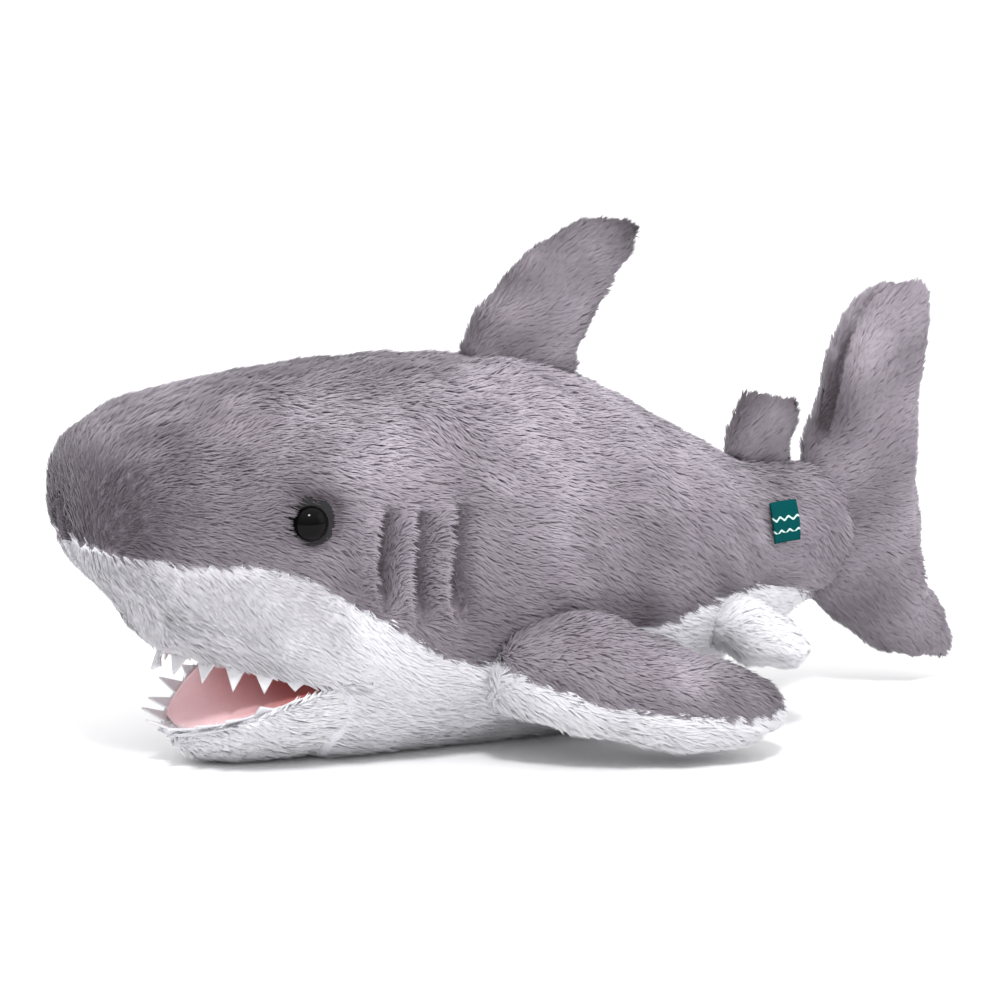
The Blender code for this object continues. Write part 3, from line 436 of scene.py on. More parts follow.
def gillLine(k, z):
    # a tuck bows forward in its middle: its place plus bend times a parabola of the height
    low, high = gillShape["low"][k], gillShape["high"][k]
    t = (z - low) / (high - low) * 2 - 1
    return gillShape["places"][k] + gillShape["bend"] * (t * t - 0.5)


reliefShape = {
    "seam": 1.8,  # how far the seam between grey and white is drawn in, mm
    "seamRidge": 1.2,  # how far the white stands out below it
    "spine": 0.6,  # how far the seam along the middle is drawn in
    "brow": 1.6,
    "lumps": 1.0,  # of the filling
}


def bodyRelief(p):
    # how far the fabric stands out, mm: gill tucks, seams drawn in, the eye sockets and soft lumps
    x, y, z = p.T
    flank = smoothStep((np.abs(y) - 30) / 20)
    rise = np.zeros(len(x))
    for k in range(len(gillShape["places"])):
        span = gillSpan(k, z) * flank
        u = x - gillLine(k, z)
        slit = np.where(u < 0, np.exp(-np.square(u / 1.3)), np.exp(-np.square(u / 4.4)))
        lip = np.exp(-np.square((u + 5.5) / 3.6))
        rise += span * (gillShape["lip"] * lip - gillShape["depth"] * slit)
    seam = z - seamHeight(x)
    rise -= reliefShape["seam"] * np.exp(-np.square(seam / 3.0)) * smoothStep((x + 215) / 20)
    rise += reliefShape["seamRidge"] * np.exp(-np.square((seam + 14) / 9))
    spine = np.exp(-np.square(y / 3.0)) * smoothStep((z - 90) / 20) * smoothStep((x + 205) / 25)
    rise -= reliefShape["spine"] * spine
    r = np.hypot(x - eyeShape["x"], z - eyeShape["z"])
    rise -= flank * eyeShape["socket"] * np.exp(-np.square(r / 9.5))
    brow = np.exp(-np.square((r - 17) / 6)) * smoothStep((z - eyeShape["z"] + 12) / 14)
    rise += flank * reliefShape["brow"] * brow
    rise += reliefShape["lumps"] * (waves(p, 75.0, 11) + 0.5 * waves(p, 30.0, 12))
    return rise


def lift(form, amount):
    # moves every point of a form along its own normal by amount(points in mm, normals), in mm
    points, tris, normals = surfaceOf(form)
    moved = points + normals * (amount(points / mm, normals) * mm)[:, None]
    form.data.vertices.foreach_set("co", moved.astype(np.float32).ravel())
    form.data.update()
    return form


def makeBodyForm():
    # rings of the rounded section from nose to tail root; over the mouth they close across its roof
    front = bodyShape["place"][0]
    nose = front + bodyShape["noseLong"] * (1 - np.cos(np.linspace(0.06, math.pi / 2, 16))) ** 1.15
    corner = mouthHinge[0] + 1.0
    back = np.concatenate([np.arange(nose[-1] + 2.2, corner, 2.2), [corner - 0.2, corner + 0.6]])
    rear = np.arange(corner + 2.8, bodyShape["place"][-1], 2.2)
    x = np.concatenate([nose, back, rear])[:, None]
    shape = bodySection(x)
    mouth = x < corner
    edge = np.where(mouth, np.maximum(roofHeight(x), shape[1]), mouthHinge[2])
    low = angleAt(edge, shape)
    angle = low + (math.pi / 2 - 0.012 - low) * np.linspace(0, 1, 48)[None, :]
    right = sectionPoint(x, angle, shape)
    left = right[:, ::-1] * [1, -1, 1]
    t = np.linspace(0, 1, 42)[None, 1:-1]
    chord = left[:, -1:] + (right[:, :1] - left[:, -1:]) * t[..., None]
    chord[..., 2] += 5.0 * 4 * t * (1 - t) * smoothStep((x - front - 52) / 10)
    under = sectionPoint(x, low - (math.pi / 2 + low) * (1 - np.abs(2 * t - 1)), shape)
    under[..., 1] *= np.sign(t - 0.5)
    # the belly's front edge is rounded: a quarter circle of the way back, faded at the sides
    backward = np.clip((x - corner) / 10, 0, 1)
    inward = 7 * (1 - np.sqrt(1 - (1 - backward) ** 2)) * smoothStep((1 - np.abs(2 * t - 1)) * 6)
    middle = np.stack([x, 0 * x, shape[3]], -1)
    under -= clean((under - middle) * [0, 1, 1]) * inward[..., None]
    across = np.where(mouth[..., None], chord, under)
    rings = np.concatenate([right, left, across], 1) * mm
    rings[..., 2] = np.maximum(rings[..., 2], groundGap)
    form = ringForm("body_stuffing", rings)

    def amount(p, n):
        # nothing where it rests on the ground, and nothing on the roof of the mouth
        roof = (p[:, 0] < corner) * smoothStep(-n[:, 2] * 1.3 - 0.3)
        roof = roof * smoothStep((roofHeight(p[:, 0]) + 14 - p[:, 2]) / 6)
        return (bodyRelief(p) - bodyShape["pileHeight"]) * smoothStep(p[:, 2] / 6) * (1 - roof)

    return lift(form, amount)


def jawSection(x):
    # the head's section at the corner of the mouth, narrowed to a round lip in front
    t = np.clip((x - mouthShape["jawFront"]) / (mouthHinge[0] - mouthShape["jawFront"]), 0, 1)
    f = (1 - (1 - t) ** mouthShape["jawPower"]) ** (1 / mouthShape["jawPower"])
    top, under, width, widest = bodySection(mouthHinge[0])
    lip = floorHeight(mouthShape["jawFront"]) - 4
    return top, under + (lip - under) * (1 - f) ** 1.6, width * np.maximum(f, 1e-3), widest


def makeJawForm():
    # rings of the lower jaw, round below and nearly flat across the floor of the mouth
    long = mouthShape["jawBack"] - mouthShape["jawFront"]
    x = mouthShape["jawFront"] + long * (1 - np.cos(np.linspace(0.16, math.pi / 2, 30)))[:, None]
    shape = jawSection(x)
    high = angleAt(np.maximum(np.minimum(floorHeight(x), mouthHinge[2] + 1), shape[1] + 1), shape)
    angle = -math.pi / 2 + (high + math.pi / 2) * np.linspace(0.02, 1, 26)[None, :]
    right = sectionPoint(x, angle, shape)
    left = right[:, ::-1] * [1, -1, 1]
    t = np.linspace(0, 1, 16)[None, 1:-1, None]
    across = right[:, -1:] + (left[:, :1] - right[:, -1:]) * t
    across[..., 2] -= 3.0 * (4 * t * (1 - t))[..., 0]
    rings = np.concatenate([right, across, left], 1) * mm
    rings[..., 2] = np.maximum(rings[..., 2], groundGap)
    form = ringForm("jaw_stuffing", rings)

    def amount(p, n):
        # nothing where it rests on the ground, and nothing on the floor of the mouth
        return (
            (0.8 * waves(p, 40.0, 21) - bodyShape["pileHeight"])
            * smoothStep(p[:, 2] / 6) * (1 - smoothStep(n[:, 2] * 1.3 - 0.3))
        )

    return lift(form, amount)


bodyForm = makeBodyForm()
jawForm = makeJawForm()
print("stage: body and jaw formed")


dorsalShape = {
    "joint": "dorsal_lean",
    "rise": [-9, 0, 10, 21, 34, 45.5, 55, 62, 66.5, 69],
    "front": [-31, -29.5, -27, -23, -14.5, -5.5, 4, 12, 20, 27],
    "rear": [31, 29.5, 32, 35, 39, 43.5, 47.5, 47.5, 43, 35],
    "half": [13, 12.5, 12, 12, 11.5, 10.5, 9.5, 8, 6, 3],
}
secondDorsalShape = {
    "joint": "second_dorsal_lean",
    "rise": [-7, 0, 8, 15, 21, 25, 27.5],
    "front": [-19, -18.5, -17.5, -17, -16, -14, -9],
    "rear": [19, 18.5, 18.5, 18.5, 18, 16.5, 12],
    "half": [9, 9, 9, 8.5, 7.5, 6, 3],
}


def finFrame(joint):
    # a standing fin's place in mm, its direction along the back and its direction up
    along = clean(np.array(joints[joint]["axis"], float))
    return np.array(joints[joint]["pos_m"]) / mm, along, np.array([-along[2], 0, along[0]])


def pillowRings(front, rear, half, power, around):
    # places along the chord by (1 - cos) / 2 and to the sides by half width times |sin|^power, row by row
    turn = np.linspace(0, 2 * math.pi, around, endpoint=False)[None, :]
    across = half * np.sign(np.sin(turn)) * np.abs(np.sin(turn)) ** power
    return front + (rear - front) * (1 - np.cos(turn)) / 2, across


def standingFin(name, shape, pile=2.6, steps=44, around=56):
    # a pillow that stands on the back
    place, along, up = finFrame(shape["joint"])
    rise = np.array(shape["rise"], float)
    t = np.linspace(0, 1, steps)
    r = rise[0] + (rise[-1] - rise[0]) * (1 - (1 - t) ** 1.6)
    front, rear, half = (curveThrough(rise, shape[k])(r)[:, None] for k in ("front", "rear", "half"))
    chord, thick = pillowRings(front, rear, half, 0.8, around)
    rings = place + chord[..., None] * along + r[:, None, None] * up + thick[..., None] * [0, 1, 0]
    form = ringForm(name, rings * mm)
    stuffed(form, 2.5, 3.5)
    return lift(form, lambda p, n: 0.7 * waves(p, 22.0, 31) - pile)


tailShape = {
    "height": [10, 13.5, 21, 32, 42, 50, 60, 72, 84, 96, 106, 115, 124, 136, 150, 164, 178, 188, 195, 199],
    "front": [203, 188, 175, 161, 150, 143, 140, 140, 140, 140, 140, 140, 141, 144, 148, 152, 158, 165,
              175, 188],
    "rear": [221, 225, 226, 223, 219.5, 216, 213, 210.5, 209, 208, 207.3, 207, 206.8, 207.4, 208.4, 209.8,
             211, 211, 208, 202],
    "half": [3, 7, 10.5, 12.5, 13.5, 14, 14.5, 14.5, 14.5, 14.5, 14.2, 14, 13.8, 13.5, 13, 12, 10.5, 8.5,
             6, 3],
    "crease": 8.0,
}


def makeTailForm():
    # an upright pillow, its rows closer together at both tips
    heights = np.array(tailShape["height"], float)
    t = np.linspace(0, 1, 96)
    z = heights[0] + (heights[-1] - heights[0]) * (t - 0.28 * np.sin(2 * math.pi * t) / (2 * math.pi))
    front, rear, half = (curveThrough(heights, tailShape[k])(z)[:, None] for k in ("front", "rear", "half"))
    chord, thick = pillowRings(front, rear, half, 0.75, 72)
    rings = np.stack([chord, thick, z[:, None] + 0 * chord], -1) * mm
    form = ringForm("tail_stuffing", rings)
    stuffed(form, 3.0, 4.0)
    return lift(form, tailRelief)


def tailFront(z):
    return curveThrough(tailShape["height"], tailShape["front"])(z)


def creaseAt(p):
    # 1 in the crease behind the leading edge of the upper lobe on the left, 0 away from it
    behind = p[:, 0] - tailFront(p[:, 2]) - tailShape["crease"]
    upper = smoothStep((p[:, 2] - 118) / 14) * smoothStep((204 - p[:, 2]) / 12)
    return np.exp(-np.square(behind / 3.2)) * upper * smoothStep(-p[:, 1] / 3)


def tailRelief(p, n):
    return 0.8 * waves(p, 26.0, 41) - 2.8 - 4.4 * creaseAt(p)


pectoralShape = {
    "along": [0.0, 0.08, 0.2, 0.36, 0.55, 0.72, 0.86, 0.95, 1.0],
    "x": [-50, -44, -31, -10, 16, 40, 60, 72, 78],
    "y": [-60, -65, -73, -83, -91, -95, -97, -98, -98],
    "z": [36, 40, 45, 45, 37, 31, 27, 24, 23],
    "across": [6, 13, 19, 23, 25, 24, 20, 14, 6],
    "up": [10, 18, 24, 27, 24, 19, 15, 11, 5],
    "down": [8, 16, 25, 32, 31, 26, 20, 13, 5],
    "pinch": 2.2,
    "seamX": [-50, -35, -15, 5, 16, 36, 52, 70, 82],
    "seamZ": [48, 41, 33, 29, 27, 25, 24, 25, 26],
}
pelvicShape = {
    "along": [0.0, 0.12, 0.35, 0.65, 0.88, 1.0],
    "x": [66, 72, 83, 97, 106, 110],
    "y": [-40, -46, -54, -59, -62, -63],
    "z": [50, 50, 48, 44, 41, 40],
    "across": [6, 14, 20, 20, 14, 6],
    "up": [6, 13, 17, 15, 10, 5],
    "down": [5, 12, 17, 16, 10, 4],
    "pinch": 0.5,
    "seamX": [66, 110],
    "seamZ": [48, 48],
}


def sideFin(name, shape, side, pile=3.0, cap=3.5):
    # a pillow along a bent line: rings of across * cos and up or down * sin, clear of the ground
    t = 0.5 - 0.5 * np.cos(np.linspace(0.0, math.pi, 60))
    x, y, z, across, up, down = (
        curveThrough(shape["along"], shape[k])(t)[:, None] for k in ("x", "y", "z", "across", "up", "down")
    )
    turn = np.linspace(0, 2 * math.pi, 64, endpoint=False)[None, :]
    tangent = np.gradient(np.concatenate([x, y, z], 1), axis=0)
    over = clean(np.cross(tangent, [0, 0, 1]))
    c, s = np.cos(turn), np.sin(turn)
    wide = (across * np.sign(c) * np.abs(c) ** 0.9)[..., None] * over[:, None, :]
    high = np.where(s > 0, up, down) * s
    rings = np.concatenate([x, y, z], 1)[:, None, :] + wide + high[..., None] * [0, 0, 1]
    rings[..., 2] = np.maximum(rings[..., 2], 1.2)
    rings[..., 1] *= -side
    form = ringForm(name, rings * mm)
    stuffed(form, cap, 4.0)
    seam = curveThrough(shape["seamX"], shape["seamZ"])

    def relief(p, n):
        outer = smoothStep((np.abs(p[:, 1]) - np.interp(p[:, 0], shape["x"], np.abs(shape["y"]))) / 6)
        pinch = shape["pinch"] * np.exp(-np.square((p[:, 2] - seam(p[:, 0])) / 3.0)) * outer
        return (0.8 * waves(p, 28.0, 51) - pinch - pile) * smoothStep(p[:, 2] / 6)

    return lift(form, relief)


dorsalForm = standingFin("dorsal_stuffing", dorsalShape)
secondDorsalForm = standingFin("second_dorsal_stuffing", secondDorsalShape, steps=24, around=40)
tailForm = makeTailForm()
pectoralForms, pelvicForms = {}, {}
for label, side in (("left", -1.0), ("right", 1.0)):
    pectoralForms[label] = sideFin("pectoral_" + label + "_stuffing", pectoralShape, side)
    pelvicForms[label] = sideFin("pelvic_" + label + "_stuffing", pelvicShape, side, 3.0, 2.0)
print("stage: fins formed")


def plug(links, pairs):
    # each pair is a socket and what goes into it, another socket or a plain value
    for socket, value in pairs:
        if isinstance(value, bpy.types.NodeSocket):
            links.new(value, socket)
        else:
            socket.default_value = value


def objectPlace(nodes):
    return nodes.new("ShaderNodeTexCoord").outputs["Object"]


def bumped(nodes, links, shader, height, distance, strength):
    # small relief from a height, distance in metres
    rise = nodes.new("ShaderNodeBump")
    rise.inputs["Distance"].default_value = distance
    rise.inputs["Strength"].default_value = strength
    links.new(height, rise.inputs["Height"])
    links.new(rise.outputs["Normal"], shader.inputs["Normal"])


def mixColours(nodes, links, factor, a, b):
    # from colour a to colour b by factor
    made = nodes.new("ShaderNodeMix")
    made.data_type = "RGBA"
    plug(links, ((made.inputs[0], factor), (made.inputs[6], a), (made.inputs[7], b)))
    return made.outputs[2]


def mathNode(nodes, links, operation, a, b=0.0, clamp=False):
    made = nodes.new("ShaderNodeMath")
    made.operation = operation
    made.use_clamp = clamp
    plug(links, ((made.inputs[0], a), (made.inputs[1], b)))
    return made.outputs[0]


def noiseNode(nodes, links, coords, scale, detail=3.0, roughness=0.55):
    made = nodes.new("ShaderNodeTexNoise")
    made.inputs["Scale"].default_value = scale
    made.inputs["Detail"].default_value = detail
    made.inputs["Roughness"].default_value = roughness
    links.new(coords, made.inputs["Vector"])
    return made.outputs["Fac"]


def makePileGroup():
    # colour of a lock: deep at the root and lighter at the tip, a painted shade down among the locks;
    # mottled in patches; darker where shade says, partly the pile's own tone and partly painted light and
    # shade
    tree = bpy.data.node_groups.new("pile colour", "ShaderNodeTree")
    for label in ("Deep", "Middle", "Light", "Dark"):
        tree.interface.new_socket(name=label, in_out="INPUT", socket_type="NodeSocketColor")
    tree.interface.new_socket(name="Patch", in_out="INPUT", socket_type="NodeSocketFloat")
    tree.interface.new_socket(name="Colour", in_out="OUTPUT", socket_type="NodeSocketColor")
    nodes, links = tree.nodes, tree.links
    taken, given = nodes.new("NodeGroupInput"), nodes.new("NodeGroupOutput")
    place = objectPlace(nodes)
    read = {}
    for label in ("tip", "tone", "shade"):
        node = nodes.new("ShaderNodeAttribute")
        node.attribute_name = label
        read[label] = node.outputs["Fac"]
    patch = noiseNode(nodes, links, place, 17.0)
    patch = mathNode(nodes, links, "SUBTRACT", patch, 0.5)
    patch = mathNode(nodes, links, "MULTIPLY", patch, taken.outputs["Patch"])
    tone = mathNode(nodes, links, "ADD", read["tone"], patch, True)
    body = mixColours(nodes, links, tone, taken.outputs["Middle"], taken.outputs["Light"])
    body = mixColours(nodes, links, read["shade"], body, taken.outputs["Dark"])
    # painted shade: each lock goes from the root colour Deep up to its own colour at the tip
    up = mathNode(nodes, links, "POWER", read["tip"], 0.6)
    colour = mixColours(nodes, links, up, taken.outputs["Deep"], body)
    links.new(colour, given.inputs["Colour"])
    return tree


def plainMaterial(name, colour, roughness):
    # a new material with its nodes, links and shader; the pieces' own colours are linked in afterwards
    made = bpy.data.materials.new(name)
    made.use_nodes = True
    shader = made.node_tree.nodes["Principled BSDF"]
    shader.inputs["Base Color"].default_value = (*colour, 1)
    shader.inputs["Roughness"].default_value = roughness
    return made, made.node_tree.nodes, made.node_tree.links, shader


pileGroup = makePileGroup()
# Deep is the painted shade at the roots of the locks; Dark is what the shade attribute mixes towards
plushColours = {
    "grey": {"Deep": (0.190, 0.165, 0.195), "Middle": (0.345, 0.302, 0.356), "Light": (0.600, 0.550, 0.615),
             "Dark": (0.045, 0.036, 0.042), "Patch": 1.2},
    "white": {"Deep": (0.74, 0.74, 0.78), "Middle": (0.82, 0.82, 0.86), "Light": (0.93, 0.93, 0.95),
              "Dark": (0.42, 0.41, 0.44), "Patch": 0.6},
}


def pileMaterial(name, colours, sheen, tint):
    made, nodes, links, shader = plainMaterial(name, colours["Middle"], 0.9)
    shader.inputs["Sheen Weight"].default_value = sheen
    shader.inputs["Sheen Roughness"].default_value = 0.45
    shader.inputs["Sheen Tint"].default_value = (*tint, 1)
    shader.inputs["Specular IOR Level"].default_value = 0.25
    node = nodes.new("ShaderNodeGroup")
    node.node_tree = pileGroup
    for label, value in colours.items():
        node.inputs[label].default_value = value if label == "Patch" else (*value, 1)
    links.new(node.outputs["Colour"], shader.inputs["Base Color"])
    return made


def backingMaterial(name, deep, light):
    # the knitted ground under the pile: fine mottled colour with a bump of small loops
    made, nodes, links, shader = plainMaterial(name, deep, 0.95)
    place = objectPlace(nodes)
    fine = noiseNode(nodes, links, place, 900.0, 2.0)
    broad = noiseNode(nodes, links, place, 40.0)
    mixed = mathNode(nodes, links, "MULTIPLY", fine, broad)
    mixed = mathNode(nodes, links, "MULTIPLY", mixed, 2.6, True)
    links.new(mixColours(nodes, links, mixed, (*deep, 1), (*light, 1)), shader.inputs["Base Color"])
    bumped(nodes, links, shader, fine, 0.0006, 0.6)
    return made


greyPile = pileMaterial("lilac grey plush", plushColours["grey"], 0.35, (0.9, 0.86, 0.95))
whitePile = pileMaterial("white plush", plushColours["white"], 0.2, (1.0, 1.0, 1.0))
greyBacking = backingMaterial("grey plush ground", (0.11, 0.095, 0.114), (0.22, 0.19, 0.225))
whiteBacking = backingMaterial("white plush ground", (0.45, 0.45, 0.5), (0.8, 0.8, 0.84))


def velvetMaterial(name, deep, light, size, sheen, shadow=None):
    # smooth short pile or felt: cloudy colour from two noises, bump from the finer one, soft sheen,
    # and a shadow colour where the piece's shade says
    made, nodes, links, shader = plainMaterial(name, light, 0.85)
    shader.inputs["Sheen Weight"].default_value = sheen
    shader.inputs["Sheen Roughness"].default_value = 0.4
    shader.inputs["Sheen Tint"].default_value = (*light, 1)
    place = objectPlace(nodes)
    weave = noiseNode(nodes, links, place, size, 4.0, 0.7)
    cloud = noiseNode(nodes, links, place, 90.0)
    fine = mathNode(nodes, links, "MULTIPLY", weave, 0.6)
    cloud = mathNode(nodes, links, "MULTIPLY", cloud, 0.5)
    blend = mathNode(nodes, links, "ADD", fine, cloud, True)
    colour = mixColours(nodes, links, blend, (*deep, 1), (*light, 1))
    if shadow:
        mask = nodes.new("ShaderNodeAttribute")
        mask.attribute_name = "shade"
        colour = mixColours(nodes, links, mask.outputs["Fac"], colour, (*shadow, 1))
    links.new(colour, shader.inputs["Base Color"])
    bumped(nodes, links, shader, weave, 0.0004, 0.5)
    return made


pinkVelvet = velvetMaterial(
    "pink mouth velvet", (0.88, 0.55, 0.59), (0.97, 0.72, 0.75), 700.0, 0.2, (0.36, 0.07, 0.06)
)
whiteFelt = velvetMaterial("white felt", (0.62, 0.62, 0.66), (0.82, 0.82, 0.85), 1400.0, 0.1)
blackFelt = velvetMaterial("black felt", (0.004, 0.004, 0.005), (0.02, 0.018, 0.02), 1200.0, 0.1)


def finish(piece, body, nodes=(), look=None, across=None):
    # material and stand-ins of a piece, attached to its body; a piece given across, the joint strip that it
    # spans, stays in place unattached
    if look is not None:
        piece.data.materials.clear()
        piece.data.materials.append(look)
    if across:
        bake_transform(piece)
    else:
        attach(piece, body)
    if nodes:
        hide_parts(*nodes)


# where the fabric bends over a joint: a place on the body and a place on the moving piece, mm
tailStrip = ((122.0, 0.0, 82.0), (160.0, 0.0, 82.0))
jawStrip = ((-110.0, 0.0, 30.0), (-134.0, 0.0, 30.0))
pectoralStrip = ((-20.0, 62.0, 40.0), (-14.0, 84.0, 40.0))
pelvicStrip = ((92.0, 48.0, 42.0), (96.0, 60.0, 42.0))
lockCounts = {"back": 66000, "muzzle": 14000, "belly": 34000, "jaw": 19000, "tail": 29000, "pelvic": 6500}
behindMouth = mouthHinge[0]
bellyFront = -112.0  # of the belly's pile below the corner of the mouth
shortWays = {"length": 5.4, "stand": 0.36, "stray": 0.12}  # of the white pile on the body


def onFlank(out):
    return smoothStep(np.abs(out[:, 1]) * 1.4)


def steady(p, x, y, z):
    # one direction for each point, from values or arrays
    return np.stack([value + 0 * p[:, 0] for value in (x, y, z)], 1)


def bodyNap(p, out):
    # backwards, down the flanks and up over the front of the snout
    down = -0.5 * onFlank(out) * smoothStep((p[:, 2] - 0.02) / 0.03)
    up = 0.8 * smoothStep(-out[:, 0] * 1.5 - 0.15) * isGrey(p)
    return steady(p, 1, 0, down + up)


# soft patches on the grey pile, partly painted light and shade: amount of dark, middle along and up, half
# width along and up
shadePatches = {
    "snout": (0.42, -207, 118, 46, 32),
    # painted shade under the brow, over the eye
    "over the eye": (0.85, eyeShape["x"] + 2, eyeShape["z"] + 9, 9, 6),
    # painted light on the top of the back, where the light from above falls
    "middle of the back": (-0.50, 2, 158, 62, 34),
    # partly painted light, partly the pile's own tone: the brow, the rear flank and the ridges between the
    # slits
    "brow": (-0.12, -98, 146, 36, 18),
    "rear flank": (-0.20, 88, 108, 40, 26),
    "between the slits": (-0.40, -85, 97, 24, 26),
}


def bodyShade(p, out):
    # base and patches, darker again at the nose and spine; painted shade on the low flank, round the eye in
    # its socket and in the slits
    x, y, z = (p / mm).T
    r = np.hypot(x - eyeShape["x"], z - eyeShape["z"])
    dark = 0.44 + 0.25 * smoothStep((-200 - x) / 25)
    for amount, along, up, wide, deep in shadePatches.values():
        dark = dark + amount * np.exp(-np.square((x - along) / wide) - np.square((z - up) / deep))
    dark += 0.30 * smoothStep((z - 163) / 10) * smoothStep((-15 - x) / 40)
    # painted shade: darker low on the flank, where less light reaches
    dark += 0.18 * smoothStep((88 - z) / 24)
    # painted shade in a ring round the eye, in its socket
    dark += 0.4 * np.exp(-np.square((r - 9) / 2.5))
    mottle = 0.12 * waves(p, 0.060, 61) + 0.06 * waves(p, 0.022, 62)
    # painted shade in the slits of the gill tucks
    return np.clip(dark + mottle, 0, 0.92) + 0.8 * gillDepth(x, y, z)


def bodyThin(p):
    # shorter pile in and in front of the slits, so that they stay open, and on the snout
    x, y, z = (p / mm).T
    slits = np.clip(gillDepth(x, y, z) + gillDepth(x + 3.5, y, z), 0, 1)
    return (1 - 0.72 * slits) * (1 - 0.2 * smoothStep((-185 - x) / 30))


def whiteShade(p, out):
    # faint clouds, and the shadowed fold that runs back from the corner of the mouth
    x, y, z = (p / mm).T
    fold = np.exp(-np.square((z - mouthHinge[2] + 0.1 * (x - mouthHinge[0])) / 1.3))
    fold *= smoothStep((x - mouthHinge[0] + 3) / 3) * smoothStep((mouthHinge[0] + 16 - x) / 14)
    front = 0.38 * smoothStep((mouthHinge[0] + 12 - x) / 30) + 0.2 * smoothStep((-170 - x) / 40)
    return 0.34 + front + 0.10 * waves(p, 0.03, 63) + 1.4 * fold


def eyeClear(p):
    # 0 over the eye and its felt, so no pile grows there; the bare round sits a little high and back
    q = p / mm
    r = np.hypot(q[:, 0] - eyeShape["x"] - 1.2, q[:, 2] - eyeShape["z"] - 1.8)
    return (r > eyeShape["radius"] + 0.6) | (np.abs(q[:, 1]) < 40)


def isGrey(p):
    return p[:, 2] / mm > seamHeight(p[:, 0] / mm)


def plushPanel(node, form, count, keep, nap, shade, seed, body, slot, look, across=None, **changes):
    # the pile of one sewn panel, in the place of that panel's solid
    pile = growLocks(node + "_plush", form, count, keep, nap, shade, seed, **changes)
    finish(pile, body, [node], look, across)


def stuffing(form, body, look, node, across=None):
    # a stuffed form in the place of its filling's solid, with the ground fabric on it
    finish(form, body, [node], look, across)


def twoGrounds(form, grey):
    # grey ground where grey says so of a face's middle, white ground on the other faces
    form.data.materials.clear()
    form.data.materials.append(greyBacking)
    form.data.materials.append(whiteBacking)
    other = ~grey(valuesOf(form.data.polygons, "center", 3).astype(float))
    form.data.polygons.foreach_set("material_index", other.astype(np.int32))


for label, side in (("left", -1.0), ("right", 1.0)):
    plushPanel(
        "back_panel_" + label, bodyForm, lockCounts["back"],
        lambda p, n: isGrey(p) & (p[:, 1] * side >= 0) & eyeClear(p),
        bodyNap, bodyShade, 100 + int(side), "tail_fin", "grey_plush", greyPile, tailStrip, thin=bodyThin,
    )
    plushPanel(
        "muzzle_panel_" + label, bodyForm, lockCounts["muzzle"],
        lambda p, n: ~isGrey(p) & (p[:, 1] * side >= 0) & (p[:, 0] / mm < behindMouth)
        & ((n[:, 2] > -0.86) | (p[:, 0] / mm < -206)),
        bodyNap, whiteShade, 110 + int(side), "body", "white_plush", whitePile,
        **{**shortWays, "length": 5.2},
    )
plushPanel(
    "belly_panel", bodyForm, lockCounts["belly"],
    lambda p, n: ~isGrey(p) & (n[:, 0] > -0.5)
    & (p[:, 0] / mm >= np.where(p[:, 2] / mm > 39, behindMouth, bellyFront)),
    bodyNap, whiteShade, 120, "tail_fin", "white_plush", whitePile, tailStrip, **shortWays,
)
plushPanel(
    "jaw_panel", jawForm, lockCounts["jaw"],
    lambda p, n: (p[:, 2] / mm < floorHeight(p[:, 0] / mm) + 1) & (n[:, 2] < 0.6) & (p[:, 0] / mm < -107),
    lambda p, out: steady(p, 1, 0, 0.15),
    lambda p, out: 0.1 * waves(p, 0.03, 65), 130, "jaw", "white_plush", whitePile, jawStrip,
    **{**shortWays, "length": 5.0},
)
stuffing(bodyForm, "tail_fin", greyBacking, "body_filling", tailStrip)
stuffing(jawForm, "jaw", whiteBacking, "jaw_filling", jawStrip)
twoGrounds(bodyForm, isGrey)
print("stage: head and body plush grown")


def finNap(joint, forward, upward):
    # away from the fin's root, along the body by forward and up by upward
    along, up = finFrame(joint)[1:]
    return lambda p, out: np.tile(forward * along + upward * up, (len(p), 1))


def standingShade(joint, tall, base):
    # darker to the tip and the edges
    place, along, up = finFrame(joint)
    return lambda p, out: (
        base + 0.24 * smoothStep(((p / mm - place) @ up / tall - 0.55) / 0.45)
        + 0.12 * (1 - np.abs(out[:, 1])) + 0.14 * waves(p, 0.03, 66)
    )


for prefix, form, joint, tall, count, seed, bendFrom, bendTo in (
    ("dorsal", dorsalForm, "dorsal_lean", 68.0, 12500, 140, -5.0, 14.0),
    ("second_dorsal", secondDorsalForm, "second_dorsal_lean", 26.0, 3600, 150, -4.0, 9.0),
):
    place, along, up = finFrame(joint)
    strip = (tuple(place + up * bendFrom), tuple(place + up * bendTo))
    for label, side in (("left", -1.0), ("right", 1.0)):
        plushPanel(
            prefix + "_panel_" + label, form, count, lambda p, n: p[:, 1] * side >= 0,
            finNap(joint, 0.75, 0.8), standingShade(joint, tall, 0.54), seed + int(side),
            prefix + "_fin", "dark_plush", greyPile, strip, length=5.6,
        )
    stuffing(form, prefix + "_fin", greyBacking, prefix + "_filling", strip)


def tailNap(p, out):
    # back along the fin and out to both of its tips
    lift = np.clip((p[:, 2] - 0.085) / 0.06, -1, 1)
    return steady(p, 0.8, 0, 0.8 * lift)


def tailShade(p, out):
    q = p / mm
    edge = 1 - np.abs(out[:, 1])
    upper = smoothStep((q[:, 2] - 120) / 50) * 0.20
    lead = smoothStep((tailFront(q[:, 2]) + 8 - q[:, 0]) / 5) * smoothStep((q[:, 2] - 118) / 14)
    low = 0.08 * smoothStep((70 - q[:, 2]) / 30)
    # painted shade in the crease behind the leading edge; the rest is darker along the leading edge,
    # towards the bottom and at the edges, lighter towards the top
    return 0.43 + low + 0.8 * creaseAt(q) + 0.22 * lead + 0.06 * edge - upper + 0.12 * waves(p, 0.04, 67)


